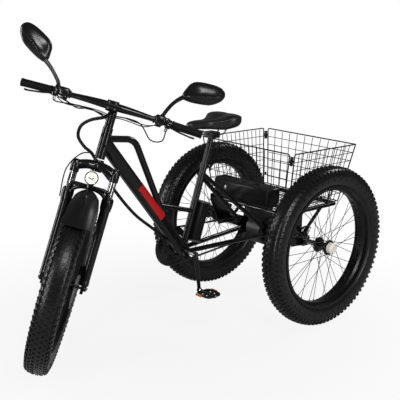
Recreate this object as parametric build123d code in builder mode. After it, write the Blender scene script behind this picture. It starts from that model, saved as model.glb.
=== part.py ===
from build123d import *
import math
import os

os.makedirs("parts", exist_ok=True)

# Frame of the part, in millimetres: +X to the vehicle's left, +Y to its rear, +Z up.
# The origin is on the ground under the middle of the rear axle.

# Sizes that drive the whole vehicle
WHEEL_R = 372.0
WHEELBASE = 1192.0
TRACK = 759.0
HEAD_ANGLE = 69.5
STEER_ANGLE = 49.7
FORK_OFFSET = 45.0
FIT_GAP = 0.3
WELD_GAP = 0.2
BEARING_GAP = 0.1
OVERRUN = 20.0

# Tyre, rim, hub and spokes, alike on all three wheels
TYRE_HALF = 47.5
TYRE_WALL = 7.0
LUG_H = 4.0
RIM_HALF = 40.0
RIM_R = 288.0
RIM_WALL = 3.0
RIM_LIP = 10.0
RIM_WELL = 20.0
RIM_DEPTH = 26.0
WELL_HALF = 16.0
HUB_R = 17.0
HUB_HALF = 36.0
FLANGE_R = 35.0
FLANGE_T = 4.0
FLANGE_X = 30.0
SPOKES = 18
SPOKE_R = 1.3
SPOKE_LEAN = 62.0
SPOKE_SPREAD = 6.0
AXLE_R = 8.0
CAP_R = 25.0
CAP_L = 28.0
DISC_R = 90.0
DISC_T = 2.5

# Steering column, measured along the steering axis from its foot
HEAD_OVER = 144.0
HEAD_L = 130.0
HEAD_LOW = WHEEL_R + HEAD_OVER
HEAD_HIGH = HEAD_LOW + HEAD_L
HEAD_R = 21.0
STEERER_R = 14.3
CROWN_UNDER = 48.0
CROWN_LOW = HEAD_LOW - CROWN_UNDER
CROWN_H = 42.0
CROWN_DROP = 14.0
CROWN_WALL = 4.0
LEG_X = 81.0
LEG_Y = 40.0
STANCHION_R = 15.0
LOWER_R = 19.5
LOWER_TOP = WHEEL_R
LOWER_FOOT = 14.0
ARCH_RISE = 26.0
ARCH_T = 16.0
ARCH_D = 20.0
DROPOUT_T = 12.0
DROPOUT_H = 44.0
FRONT_AXLE_R = 6.0
FRONT_HUB_HALF = 50.0

# Stem, bar and what the bar carries
SPACER_R = 18.0
STEM_OVER = 80.0
STEM_AT = HEAD_HIGH + STEM_OVER
STEM_REACH = 112.0
STEM_R = 17.0
STEM_H = 40.0
CLAMP_R = 22.0
CLAMP_L = 46.0
BAR_R = 11.0
BAR_CLAMP_R = 15.9
BAR_HALF = 364.0
BAR_FLAT = 70.0
BAR_BACK = 22.0
BAR_DROP = 7.0
GRIP_R = 16.5
GRIP_L = 122.0
PERCH_L = 26.0
PERCH_R = 17.0
LEVER_L = 112.0
LEVER_W = 13.0
LEVER_T = 8.0
LEVER_OUT = 42.0
LEVER_DOWN = 12.0
POD_L = 44.0
POD_W = 46.0
POD_H = 30.0
MIRROR_STEM_R = 5.0
MIRROR_AT = 232.0
MIRROR_L = 160.0
MIRROR_H = 92.0
MIRROR_T = 34.0
MIRROR_RISE = 150.0
MIRROR_OUT = 104.0
MIRROR_TILT = 16.0

# Lamp and front guard
LAMP_R = 27.0
LAMP_D = 38.0
LAMP_OVER = 62.0
LAMP_AT = WHEEL_R + LAMP_OVER
LAMP_FORWARD = 84.0
GUARD_CLEAR = 10.0
GUARD_R = WHEEL_R + GUARD_CLEAR
GUARD_T = 3.0
GUARD_NARROW = 38.0
GUARD_WIDE = 62.0
GUARD_START = 4.0
GUARD_END = 51.0

# Main frame
BB_Y = -525.0
BB_DROP = 10.0
BB_Z = WHEEL_R - BB_DROP
BB_R = 21.0
BB_HALF = 36.5
SEAT_ANGLE = 72.0
SEAT_TUBE_L = 402.0
SEAT_TUBE_R = 16.0
SEAT_POST_R = 13.6
DOWN_W = 48.0
DOWN_H = 56.0
DOWN_CORNER = 18.0
DOWN_UNDER = 61.0
DOWN_AT = HEAD_HIGH - DOWN_UNDER
TOP_R = 14.0
TOP_UNDER = 46.0
TOP_AT = HEAD_HIGH - TOP_UNDER
TOP_KNEE_Y = -792.0
TOP_KNEE_UP = 534.0
TOP_KNEE_Z = BB_Z + TOP_KNEE_UP
TOP_BEND = 70.0
TOP_FOOT_Y = -648.0
TOP_FOOT_UP = 204.0
TOP_FOOT_Z = BB_Z + TOP_FOOT_UP
BRACE_R = 10.5
BRACE_FRONT_Y = -652.0
BRACE_FRONT_UP = 228.0
BRACE_FRONT_Z = BB_Z + BRACE_FRONT_UP
BRACE_UP = 183.0

# Seat
CLAMP_H = 20.0
CLAMP_T = 4.5
POST_SUNK = 110.0
POST_L = 245.0
POST_HEAD_R = 20.0
POST_HEAD_L = 46.0
RAIL_R = 3.5
RAIL_X = 22.0
RAIL_L = 150.0
SADDLE_L = 262.0
SADDLE_W = 200.0
SADDLE_AHEAD = 146.0
SADDLE_RISE = 23.3
SADDLE_T = 62.0

# Controller and battery
CONTROL_L = 190.0
CONTROL_W = 66.0
CONTROL_D = 52.0
CONTROL_FROM = 48.0
BATTERY_L = 365.0
BATTERY_D = 86.0
BATTERY_H = 92.0
BATTERY_X = 47.0
BATTERY_BACK = -136.0
BATTERY_OVER = 28.0
TRAY_T = 5.0

# Rear frame
BEAM_W = 44.0
BEAM_END = 275.0
DROP_T = 7.0
DRIVE_X = -25.0
DRIVE_HALF = 75.0
DROP_FRONT = -78.0
DROP_REAR = 36.0
DROP_H = 74.0
STAY_R = 10.0
STAY_UNDER = 50.0
STAY_TOP = SEAT_TUBE_L - STAY_UNDER
STAY_SPLAY = 19.0
CHAINSTAY_R = 11.0
RACK_R = 10.0
RACK_HALF = 235.0
RACK_FRONT = -122.0
RACK_REAR = 236.0
UPRIGHT_X = 250.0
UPRIGHT_T = 6.0
STRUT_R = 8.0
FAN_R = 50.0
FAN_T = 18.0

# Motor, sprockets and chain
MOTOR_R = 78.0
COVER_R = 62.0
COGS = [(28, 0), (24, 1), (21, 2), (18, 3), (16, 4), (14, 5)]
PITCH = 12.7
COG_T = 1.8
COG_STEP = 5.0
CHAIN_W = 6.5
CHAIN_H = 8.0
RING_TEETH = 42
RING_T = 3.0
RING_GUARD = 9.0
CHAIN_AT = 1

# Cranks and pedals
SPINDLE_R = 8.5
CRANK_L = 171.0
CRANK_X = 92.0
CRANK_T = 12.0
CRANK_W = 26.0
CRANK_TURN = 8.0
PEDAL_L = 96.0
PEDAL_W = 82.0
PEDAL_T = 24.0
PEDAL_GAP = 9.0
PEDAL_PIN_R = 6.0

# Basket of crossing wires, wider at its rim
BASKET_OVER = 147.0
BASKET_Z = WHEEL_R + BASKET_OVER
BATTERY_Z = BASKET_Z + BATTERY_OVER
BASKET_H = 281.0
FLOOR_HALF = 240.0
FLOOR_FRONT = -114.0
FLOOR_REAR = 246.0
RIM_X = 294.0
RIM_FRONT = -143.0
RIM_REAR = 290.0
WIRE = 3.4
RIM_WIRE = 6.0
CELLS_WIDE = 11
CELLS_DEEP = 14
ROWS = 7
PANEL_GAP = 16.0
CLIP_W = 18.0
CLIP_H = 34.0

# Cables
CABLE_R = 2.5
HARNESS_R = 7.0

# Places worked out from the sizes above
head = math.radians(HEAD_ANGLE)
turn = math.radians(STEER_ANGLE)
lean = math.asin(math.cos(head) * math.sin(turn))
TREAD_HALF = 0.62 * TYRE_HALF
CARCASS_R = WHEEL_R - LUG_H
MID_R = RIM_R + 0.45 * (CARCASS_R - RIM_R)


def tyre_outline(grow):
    """Half of the tyre's outline as (sideways, radius), with the tread grown outward by a length."""
    span = CARCASS_R - RIM_R
    return [(RIM_HALF - RIM_WALL - FIT_GAP, RIM_R), (TYRE_HALF * 0.94, RIM_R + 0.18 * span),
            (TYRE_HALF, MID_R), (TYRE_HALF * 0.95, RIM_R + 0.66 * span),
            (TYRE_HALF * 0.8 + grow / 2, RIM_R + 0.86 * span + grow / 2),
            (TREAD_HALF, CARCASS_R - 0.06 * span + grow), (0, CARCASS_R + grow)]


support = max(r * math.cos(lean) + x * math.sin(lean) for x, r in tyre_outline(LUG_H))
foot_z = support - FORK_OFFSET * math.cos(head) * math.cos(turn)
foot_y = -WHEELBASE + FORK_OFFSET * math.sin(head)
COLUMN = Pos(0, foot_y, foot_z) * Rot(HEAD_ANGLE - 90, 0, 0)
STEER = COLUMN * Rot(0, 0, STEER_ANGLE)


def on_axis(along):
    """A point of the steering axis in the part's frame."""
    return Vector(0, foot_y + along * math.cos(head), foot_z + along * math.sin(head))


def up_seat(along, back=0.0):
    """A point along the seat tube, from the crank axis, and a distance behind it."""
    a = math.radians(SEAT_ANGLE)
    return Vector(0, BB_Y + along * math.cos(a) + back * math.sin(a),
                  BB_Z + along * math.sin(a) - back * math.cos(a))


def rod(start, end, radius, mode=Mode.ADD):
    """A round bar between two points."""
    start, end = Vector(*start), Vector(*end)
    axis = end - start
    with Locations(Plane(origin=start, z_dir=axis)):
        Cylinder(radius, axis.length, align=(Align.CENTER, Align.CENTER, Align.MIN), mode=mode)


def bar(start, end, width, depth, x_dir=(1, 0, 0), mode=Mode.ADD):
    """A square-edged bar between two points."""
    start, end = Vector(*start), Vector(*end)
    axis = end - start
    with Locations(Plane(origin=start, z_dir=axis, x_dir=x_dir)):
        Box(width, depth, axis.length, align=(Align.CENTER, Align.CENTER, Align.MIN), mode=mode)


def pipe(points, radius, bend, mode=Mode.ADD):
    """A round tube along a route with rounded corners."""
    with BuildLine() as route:
        FilletPolyline(*points, radius=bend)
    line = route.wire()
    with BuildSketch(Plane(origin=line @ 0, z_dir=line % 0)) as section:
        Circle(radius)
    sweep(sections=section.sketch, path=line, mode=mode)


def save(builder, name, place=None):
    """Label a finished piece, put it in place and write its file."""
    shape = builder.part if place is None else place * builder.part
    shape.label = name
    export_step(shape, f"parts/{name}.step")


# Wheels. Each is made about the origin with its axle along X.
def wheel_pieces(name, place, hub_half, axle_r, cap_side, disc_side):
    with BuildPart() as tyre:
        with BuildSketch(Plane.XY):
            outer = tyre_outline(LUG_H)
            with BuildLine():
                Polyline(*[(x, r) for x, r in outer], *[(-x, r) for x, r in reversed(outer[:-1])],
                         close=True)
            make_face()
            inner = [(x - TYRE_WALL, r) for x, r in tyre_outline(0)[:-1]]
            inner[0] = (inner[0][0] - TYRE_WALL, RIM_R - RIM_LIP)
            crown = (0, CARCASS_R - TYRE_WALL)
            with BuildLine():
                Polyline(*inner, crown, *[(-x, r) for x, r in reversed(inner)], close=True)
            make_face(mode=Mode.SUBTRACT)
        revolve(axis=Axis.X)
    save(tyre, f"{name}_tyre", place)

    bed = RIM_R - RIM_LIP
    with BuildPart() as rim:
        with BuildSketch(Plane.XY):
            half = [(RIM_HALF - RIM_WALL, RIM_R), (RIM_HALF - RIM_WALL, bed), (RIM_WELL, bed - RIM_WALL),
                    (WELL_HALF, RIM_R - RIM_DEPTH + RIM_WALL)]
            under = [(WELL_HALF, RIM_R - RIM_DEPTH), (RIM_WELL + RIM_WALL, bed - RIM_WALL - RIM_WALL),
                     (RIM_HALF, bed - RIM_WALL), (RIM_HALF, RIM_R)]
            with BuildLine():
                Polyline(*half, *[(-x, r) for x, r in reversed(half)], *[(-x, r) for x, r in reversed(under)],
                         *under, close=True)
            make_face()
        revolve(axis=Axis.X)
    save(rim, f"{name}_rim", place)

    with BuildPart() as hub:
        rod((-hub_half, 0, 0), (hub_half, 0, 0), HUB_R)
        for side in (-1, 1):
            rod((side * FLANGE_X - FLANGE_T / 2, 0, 0), (side * FLANGE_X + FLANGE_T / 2, 0, 0), FLANGE_R)
        if cap_side:
            with BuildSketch(Plane.XY):
                with BuildLine():
                    Polyline((hub_half, 0), (hub_half, CAP_R), (hub_half + CAP_L * 0.7, CAP_R),
                             (hub_half + CAP_L, CAP_R * 0.7), (hub_half + CAP_L, 0), close=True)
                make_face()
            revolve(axis=Axis.X)
        rod((-hub_half - OVERRUN, 0, 0), (hub_half, 0, 0), axle_r + BEARING_GAP, mode=Mode.SUBTRACT)
        if not cap_side:
            rod((-hub_half, 0, 0), (hub_half + OVERRUN, 0, 0), axle_r + BEARING_GAP, mode=Mode.SUBTRACT)
        if disc_side:
            rod((hub_half, 0, 0), (hub_half + DISC_T, 0, 0), DISC_R)
            rod((hub_half - OVERRUN, 0, 0), (hub_half + OVERRUN, 0, 0), axle_r + BEARING_GAP,
                mode=Mode.SUBTRACT)
    save(hub, f"{name}_hub", place if cap_side >= 0 else place * Rot(0, 0, 180))

    hole_r = FLANGE_R - 2 * SPOKE_R
    root = RIM_R - RIM_DEPTH - FIT_GAP
    with BuildPart() as spokes:
        for side in (-1, 1):
            for i in range(SPOKES):
                at = math.tau * (i + (side > 0) / 2) / SPOKES
                lean_by = SPOKE_LEAN if i % 2 else -SPOKE_LEAN
                a, b = at, at + math.radians(lean_by)
                flange_x = side * (FLANGE_X + (FLANGE_T / 2 + SPOKE_R + FIT_GAP * 3) * (1 if i % 2 else -1))
                rim_x = side * SPOKE_SPREAD
                rod((flange_x, hole_r * math.cos(b), hole_r * math.sin(b)),
                    (rim_x, root * math.cos(a), root * math.sin(a)), SPOKE_R)
    save(spokes, f"{name}_spokes", place)


wheel_pieces("left", Pos(TRACK / 2, 0, WHEEL_R), HUB_HALF, AXLE_R, 1, 0)
wheel_pieces("right", Pos(-TRACK / 2, 0, WHEEL_R), HUB_HALF, AXLE_R, -1, 0)
wheel_pieces("front", STEER * Pos(0, -FORK_OFFSET, 0), FRONT_HUB_HALF, FRONT_AXLE_R, 0, 1)

# Steering column, made straight ahead along its own axis and turned at the end
hub_y = -FORK_OFFSET
steerer_top = STEM_AT + STEM_H / 2
leg_top = CROWN_LOW + CROWN_H
with BuildPart() as crown:
    with BuildSketch(Plane.XZ.offset(LEG_Y)):
        with BuildLine():
            outer_x = LEG_X + STANCHION_R + CROWN_WALL
            Polyline((-outer_x, CROWN_LOW - CROWN_DROP), (-LEG_X + STANCHION_R, CROWN_LOW - CROWN_DROP),
                     (-LEG_X / 2, CROWN_LOW), (LEG_X / 2, CROWN_LOW), (LEG_X - STANCHION_R, CROWN_LOW - CROWN_DROP),
                     (outer_x, CROWN_LOW - CROWN_DROP), (outer_x, CROWN_LOW + CROWN_H / 2),
                     (LEG_X / 2, leg_top), (-LEG_X / 2, leg_top), (-outer_x, CROWN_LOW + CROWN_H / 2),
                     close=True)
        make_face()
    extrude(amount=STANCHION_R + CROWN_WALL, both=True)
    rod((0, 0, CROWN_LOW), (0, 0, leg_top), LEG_Y * 0.75)
    rod((0, 0, CROWN_LOW), (0, 0, HEAD_LOW - FIT_GAP), HEAD_R)
    rod((0, 0, CROWN_LOW), (0, 0, steerer_top - STEM_H), STEERER_R)
    for side in (-1, 1):
        rod((side * LEG_X, -LEG_Y, LOWER_TOP - LOWER_R), (side * LEG_X, -LEG_Y, leg_top - CROWN_DROP), STANCHION_R)
save(crown, "fork_crown", STEER)

with BuildPart() as lowers:
    for side in (-1, 1):
        rod((side * LEG_X, -LEG_Y, LOWER_FOOT), (side * LEG_X, -LEG_Y, LOWER_TOP), LOWER_R)
        with Locations((side * LEG_X, hub_y, 0)):
            Box(DROPOUT_T, LOWER_R * 1.6, DROPOUT_H)
    arch_y = -LEG_Y - STANCHION_R - ARCH_T / 2 - FIT_GAP * 3
    arch_z = LOWER_TOP + ARCH_RISE
    pipe([(-LEG_X, arch_y, LOWER_TOP - ARCH_T), (-LEG_X, arch_y, arch_z), (LEG_X, arch_y, arch_z),
          (LEG_X, arch_y, LOWER_TOP - ARCH_T)], ARCH_T / 2, ARCH_RISE)
    for side in (-1, 1):
        rod((side * LEG_X, -LEG_Y, LOWER_TOP - LOWER_R - OVERRUN), (side * LEG_X, -LEG_Y, LOWER_TOP + OVERRUN),
            STANCHION_R + FIT_GAP, mode=Mode.SUBTRACT)
    nut_x = LEG_X + DROPOUT_T / 2
    rod((-nut_x, hub_y, 0), (nut_x, hub_y, 0), FRONT_AXLE_R)
    for side in (-1, 1):
        rod((side * nut_x, hub_y, 0), (side * (nut_x + FRONT_AXLE_R * 1.5), hub_y, 0), FRONT_AXLE_R * 1.8)
save(lowers, "fork_lowers", STEER)

with BuildPart() as stem:
    rod((0, 0, HEAD_HIGH + FIT_GAP), (0, 0, STEM_AT + STEM_H / 2), SPACER_R)
    bar((0, 0, STEM_AT), (0, -STEM_REACH, STEM_AT), STEM_R * 2, STEM_H * 0.8)
    rod((-CLAMP_L / 2, -STEM_REACH, STEM_AT), (CLAMP_L / 2, -STEM_REACH, STEM_AT), CLAMP_R)
    rod((-CLAMP_L, -STEM_REACH, STEM_AT), (CLAMP_L, -STEM_REACH, STEM_AT), BAR_CLAMP_R + WELD_GAP,
        mode=Mode.SUBTRACT)
    rod((0, 0, HEAD_HIGH - OVERRUN), (0, 0, steerer_top - STEM_H + FIT_GAP), STEERER_R + WELD_GAP,
        mode=Mode.SUBTRACT)
save(stem, "stem", STEER)

bar_route = [(-BAR_HALF, -STEM_REACH + BAR_BACK, STEM_AT - BAR_DROP), (-BAR_FLAT, -STEM_REACH, STEM_AT),
             (BAR_FLAT, -STEM_REACH, STEM_AT), (BAR_HALF, -STEM_REACH + BAR_BACK, STEM_AT - BAR_DROP)]
with BuildPart() as handlebar:
    pipe(bar_route, BAR_R, BAR_FLAT)
    rod((-CLAMP_L / 2, -STEM_REACH, STEM_AT), (CLAMP_L / 2, -STEM_REACH, STEM_AT), BAR_CLAMP_R)
save(handlebar, "handlebar", STEER)


def bar_at(out, side):
    """The bar's centre at a distance out from the middle, past the flat part."""
    share = (out - BAR_FLAT) / (BAR_HALF - BAR_FLAT)
    return Vector(side * out, -STEM_REACH + BAR_BACK * share, STEM_AT - BAR_DROP * share)


bar_reach = bar_at(BAR_HALF, 1) - bar_at(BAR_FLAT, 1)
with BuildPart() as grips:
    for side in (-1, 1):
        inner, outer = bar_at(BAR_HALF - GRIP_L, side), bar_at(BAR_HALF + GRIP_R / 4, side)
        rod(inner, outer, GRIP_R)
        rod(inner, bar_at(BAR_HALF, side), BAR_R + WELD_GAP, mode=Mode.SUBTRACT)
save(grips, "grips", STEER)

perch_out = BAR_HALF - GRIP_L - PERCH_L
with BuildPart() as levers:
    for side in (-1, 1):
        inner, outer = bar_at(perch_out, side), bar_at(perch_out + PERCH_L - FIT_GAP, side)
        rod(inner, outer, PERCH_R)
        pivot = (inner + outer) / 2 + Vector(0, -PERCH_R - LEVER_W / 2, -LEVER_DOWN)
        knee = pivot + Vector(side * LEVER_L * 0.35, -LEVER_OUT + PERCH_R + LEVER_W / 2, 0)
        tip = pivot + Vector(side * LEVER_L, -LEVER_OUT + PERCH_R + LEVER_W, 0)
        bar((inner + outer) / 2 + Vector(0, 0, -LEVER_DOWN), pivot, PERCH_L * 0.7, LEVER_DOWN * 1.5)
        pipe([pivot, knee, tip], LEVER_T / 2, LEVER_L / 6)
        rod(bar_at(perch_out - OVERRUN, side), bar_at(perch_out + PERCH_L + OVERRUN, side), BAR_R + WELD_GAP,
            mode=Mode.SUBTRACT)
save(levers, "brake_levers", STEER)

pod_out = perch_out - POD_L / 2 - FIT_GAP
with BuildPart() as pods:
    for side in (-1, 1):
        up = Vector(0, 0, POD_H * 0.15)
        bar(bar_at(pod_out - POD_L / 2, side) + up, bar_at(pod_out + POD_L / 2, side) + up, POD_W, POD_H,
            x_dir=(0, 1, 0))
        rod(bar_at(pod_out - POD_L, side), bar_at(pod_out + POD_L, side), BAR_R + WELD_GAP, mode=Mode.SUBTRACT)
save(pods, "control_pods", STEER)

with BuildPart() as mirrors:
    for side in (-1, 1):
        ring_out = pod_out - POD_L / 2 - MIRROR_STEM_R * 2 - FIT_GAP * 3
        base = bar_at(ring_out, side)
        rod(bar_at(ring_out - MIRROR_STEM_R * 2, side), bar_at(ring_out + MIRROR_STEM_R * 2, side), PERCH_R)
        head_at = Vector(side * (MIRROR_AT + MIRROR_OUT), base.Y, STEM_AT + MIRROR_RISE)
        near = head_at - Vector(side * MIRROR_L * 0.42, 0, MIRROR_TILT)
        pipe([base, base + Vector(0, 0, MIRROR_RISE * 0.3), near - Vector(side * MIRROR_STEM_R * 3, 0, MIRROR_RISE * 0.25),
              near], MIRROR_STEM_R, MIRROR_STEM_R * 3)
        face = Plane(origin=head_at, x_dir=(side, 0, math.sin(math.radians(MIRROR_TILT))), z_dir=(0, -1, 0))
        outlines = []
        for depth_share, size_share in ((-0.5, 0.96), (-0.2, 1.0), (0.5, 0.55)):
            with BuildSketch(face.offset(MIRROR_T * depth_share)) as outline:
                half_l, half_h = MIRROR_L / 2 * size_share, MIRROR_H / 2 * size_share
                with BuildLine():
                    Spline((-half_l, 0), (half_l * 0.1, half_h), (half_l, half_h * 0.3),
                           (half_l * 0.45, -half_h), periodic=True)
                make_face()
            outlines.append(outline.sketch)
        loft(sections=outlines)
        rod(bar_at(ring_out - OVERRUN, side), bar_at(ring_out + OVERRUN, side), BAR_R + WELD_GAP, mode=Mode.SUBTRACT)
save(mirrors, "mirrors", STEER)

bracket_y = arch_y - ARCH_T / 2 - FIT_GAP
with BuildPart() as lamp:
    rod((0, -LAMP_FORWARD, LAMP_AT), (0, -LAMP_FORWARD - LAMP_D, LAMP_AT), LAMP_R)
    with Locations((0, bracket_y - TRAY_T / 2, (arch_z + LAMP_AT) / 2)):
        Box(LAMP_R, TRAY_T, LAMP_AT - arch_z + ARCH_T)
    bar((0, bracket_y, LAMP_AT), (0, -LAMP_FORWARD - LAMP_D / 2, LAMP_AT), LAMP_R, LAMP_R / 2)
save(lamp, "headlamp", STEER)

with BuildPart() as guard:
    with BuildSketch(Plane.YZ):
        with BuildLine():
            def guard_at(degrees, radius):
                return (hub_y - radius * math.sin(math.radians(degrees)) , radius * math.cos(math.radians(degrees)))
            a0, a1 = -GUARD_START, GUARD_END
            mid = (a0 + a1) / 2
            ThreePointArc(guard_at(a0, GUARD_R), guard_at(mid, GUARD_R), guard_at(a1, GUARD_R))
            Line(guard_at(a1, GUARD_R), guard_at(a1, GUARD_R + GUARD_T))
            ThreePointArc(guard_at(a1, GUARD_R + GUARD_T), guard_at(mid, GUARD_R + GUARD_T),
                          guard_at(a0, GUARD_R + GUARD_T))
            Line(guard_at(a0, GUARD_R + GUARD_T), guard_at(a0, GUARD_R))
        make_face()
    extrude(amount=GUARD_WIDE, both=True)
    tab_top = arch_z - ARCH_T / 2 - FIT_GAP
    with Locations((0, arch_y, (GUARD_R + tab_top) / 2)):
        Box(ARCH_D, ARCH_T, tab_top - GUARD_R)
save(guard, "front_guard", STEER)

CALIPER_L, CALIPER_W = 46.0, 30.0
caliper_x = FRONT_HUB_HALF + DISC_T / 2 + CALIPER_W / 4
with BuildPart() as caliper:
    spot = DISC_R * math.sqrt(0.5)
    with Locations((caliper_x, hub_y + spot, spot)):
        Box(CALIPER_W, CALIPER_L, CALIPER_L)
    with Locations((LEG_X - LOWER_R / 2, hub_y + spot / 2, spot)):
        Box(LOWER_R / 2, spot, CALIPER_W)
    rod((LEG_X, -LEG_Y, 0), (LEG_X, -LEG_Y, LOWER_TOP), LOWER_R + FIT_GAP, mode=Mode.SUBTRACT)
    rod((FRONT_HUB_HALF - DISC_T, hub_y, 0), (FRONT_HUB_HALF + DISC_T * 2, hub_y, 0), DISC_R + DISC_T,
        mode=Mode.SUBTRACT)
save(caliper, "brake_caliper", STEER)

# Main frame: head tube, down tube, bent top tube, seat tube, crank shell and brace
seat_low, seat_high = up_seat(0), up_seat(SEAT_TUBE_L)
head_low, head_high = on_axis(HEAD_LOW), on_axis(HEAD_HIGH)
crank_axis = Vector(0, BB_Y, BB_Z)
down_top = on_axis(DOWN_AT)
top_start = on_axis(TOP_AT)
with BuildPart() as main_frame:
    rod(head_low, head_high, HEAD_R)
    down_axis = crank_axis - down_top
    with BuildSketch(Plane(origin=down_top, z_dir=down_axis, x_dir=(1, 0, 0))) as down_section:
        RectangleRounded(DOWN_W, DOWN_H, DOWN_CORNER)
    extrude(to_extrude=down_section.sketch, amount=down_axis.length)
    pipe([top_start, (0, TOP_KNEE_Y, TOP_KNEE_Z), (0, TOP_FOOT_Y, TOP_FOOT_Z)], TOP_R, TOP_BEND)
    rod(seat_low, seat_high, SEAT_TUBE_R)
    rod((-BB_HALF, BB_Y, BB_Z), (BB_HALF, BB_Y, BB_Z), BB_R)
    rod((0, BRACE_FRONT_Y, BRACE_FRONT_Z), up_seat(BRACE_UP), BRACE_R)
    rod(on_axis(HEAD_LOW - OVERRUN), on_axis(HEAD_HIGH + OVERRUN), STEERER_R + FIT_GAP, mode=Mode.SUBTRACT)
    rod((-BB_HALF - OVERRUN, BB_Y, BB_Z), (BB_HALF + OVERRUN, BB_Y, BB_Z), SPINDLE_R + FIT_GAP, mode=Mode.SUBTRACT)
    rod(up_seat(SEAT_TUBE_L - POST_SUNK - OVERRUN), up_seat(SEAT_TUBE_L + OVERRUN), SEAT_POST_R + WELD_GAP,
        mode=Mode.SUBTRACT)
save(main_frame, "main_frame")

# Seat clamp, post, rails and saddle
clamp_r = SEAT_TUBE_R + WELD_GAP + CLAMP_T
with BuildPart() as seat_clamp:
    rod(up_seat(SEAT_TUBE_L - CLAMP_H), up_seat(SEAT_TUBE_L), clamp_r)
    rod(up_seat(SEAT_TUBE_L - CLAMP_H - OVERRUN), up_seat(SEAT_TUBE_L + OVERRUN), SEAT_TUBE_R + WELD_GAP,
        mode=Mode.SUBTRACT)
    ear = up_seat(SEAT_TUBE_L - CLAMP_H / 2, clamp_r)
    rod(ear - Vector(clamp_r, 0, 0), ear + Vector(clamp_r, 0, 0), CLAMP_T)
    bar(ear + Vector(clamp_r, 0, 0), ear + Vector(clamp_r, CLAMP_H, CLAMP_H), CLAMP_T, CLAMP_T * 2)
save(seat_clamp, "seat_clamp")

post_low, post_high = SEAT_TUBE_L - POST_SUNK, SEAT_TUBE_L - POST_SUNK + POST_L
saddle_base = up_seat(post_high).Z + SADDLE_RISE
saddle_nose = up_seat(post_high).Y - SADDLE_AHEAD
with BuildPart() as seat_post:
    rod(up_seat(post_low), up_seat(post_high), SEAT_POST_R)
    clamp_at = up_seat(post_high)
    with Locations(clamp_at):
        Box(2 * (RAIL_X + RAIL_R * 2), POST_HEAD_L, POST_HEAD_R * 1.3)
    for side in (-1, 1):
        rod(clamp_at + Vector(side * RAIL_X, -POST_HEAD_L, 0), clamp_at + Vector(side * RAIL_X, POST_HEAD_L, 0),
            RAIL_R + WELD_GAP, mode=Mode.SUBTRACT)
save(seat_post, "seat_post")

with BuildPart() as rails:
    for side in (-1, 1):
        x = side * RAIL_X
        pipe([(x, clamp_at.Y - RAIL_L / 2, saddle_base + RAIL_R), (x, clamp_at.Y - RAIL_L / 3, clamp_at.Z),
              (x, clamp_at.Y + RAIL_L / 3, clamp_at.Z), (x, clamp_at.Y + RAIL_L / 2, saddle_base + RAIL_R)],
             RAIL_R, RAIL_R * 4)
save(rails, "saddle_rails")

SADDLE_SHARES = [(0.0, 0.10, 0.34, 0.62), (0.12, 0.20, 0.52, 0.66), (0.42, 0.34, 0.66, 0.66),
                 (0.72, 0.84, 0.82, 0.80), (0.9, 0.98, 0.86, 0.92), (1.0, 0.55, 0.5, 0.9)]
with BuildPart() as saddle:
    rings = []
    for along, wide, deep, top in SADDLE_SHARES:
        y = saddle_nose + SADDLE_L * along
        high = saddle_base + SADDLE_T * (top + 0.08)
        with BuildSketch(Plane(origin=(0, y, high - SADDLE_T * deep / 2), x_dir=(1, 0, 0), z_dir=(0, -1, 0))) as ring:
            Ellipse(SADDLE_W / 2 * wide, SADDLE_T / 2 * deep)
        rings.append(ring.sketch)
    loft(sections=rings)
save(saddle, "saddle")

# Controller behind the seat tube, battery on its tray
with BuildPart() as controller:
    back = SEAT_TUBE_R + WELD_GAP + CONTROL_D / 2
    low = up_seat(CONTROL_FROM, back)
    along = (up_seat(CONTROL_FROM + CONTROL_L, back) - low)
    with BuildSketch(Plane(origin=low, z_dir=along, x_dir=(1, 0, 0))) as section:
        RectangleRounded(CONTROL_W, CONTROL_D, CONTROL_D / 4)
    extrude(to_extrude=section.sketch, amount=CONTROL_L)
save(controller, "controller_box")

battery_front = BATTERY_BACK - BATTERY_D
with BuildPart() as battery:
    with BuildSketch(Plane.YZ.offset(BATTERY_X - BATTERY_L / 2)) as section:
        with Locations((BATTERY_BACK - BATTERY_D / 2, BATTERY_Z + BATTERY_H / 2)):
            RectangleRounded(BATTERY_D, BATTERY_H, BATTERY_D / 5)
    extrude(to_extrude=section.sketch, amount=BATTERY_L)
    fillet(battery.edges().filter_by(Axis.Z), BATTERY_D / 5)
save(battery, "battery_case")

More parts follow.
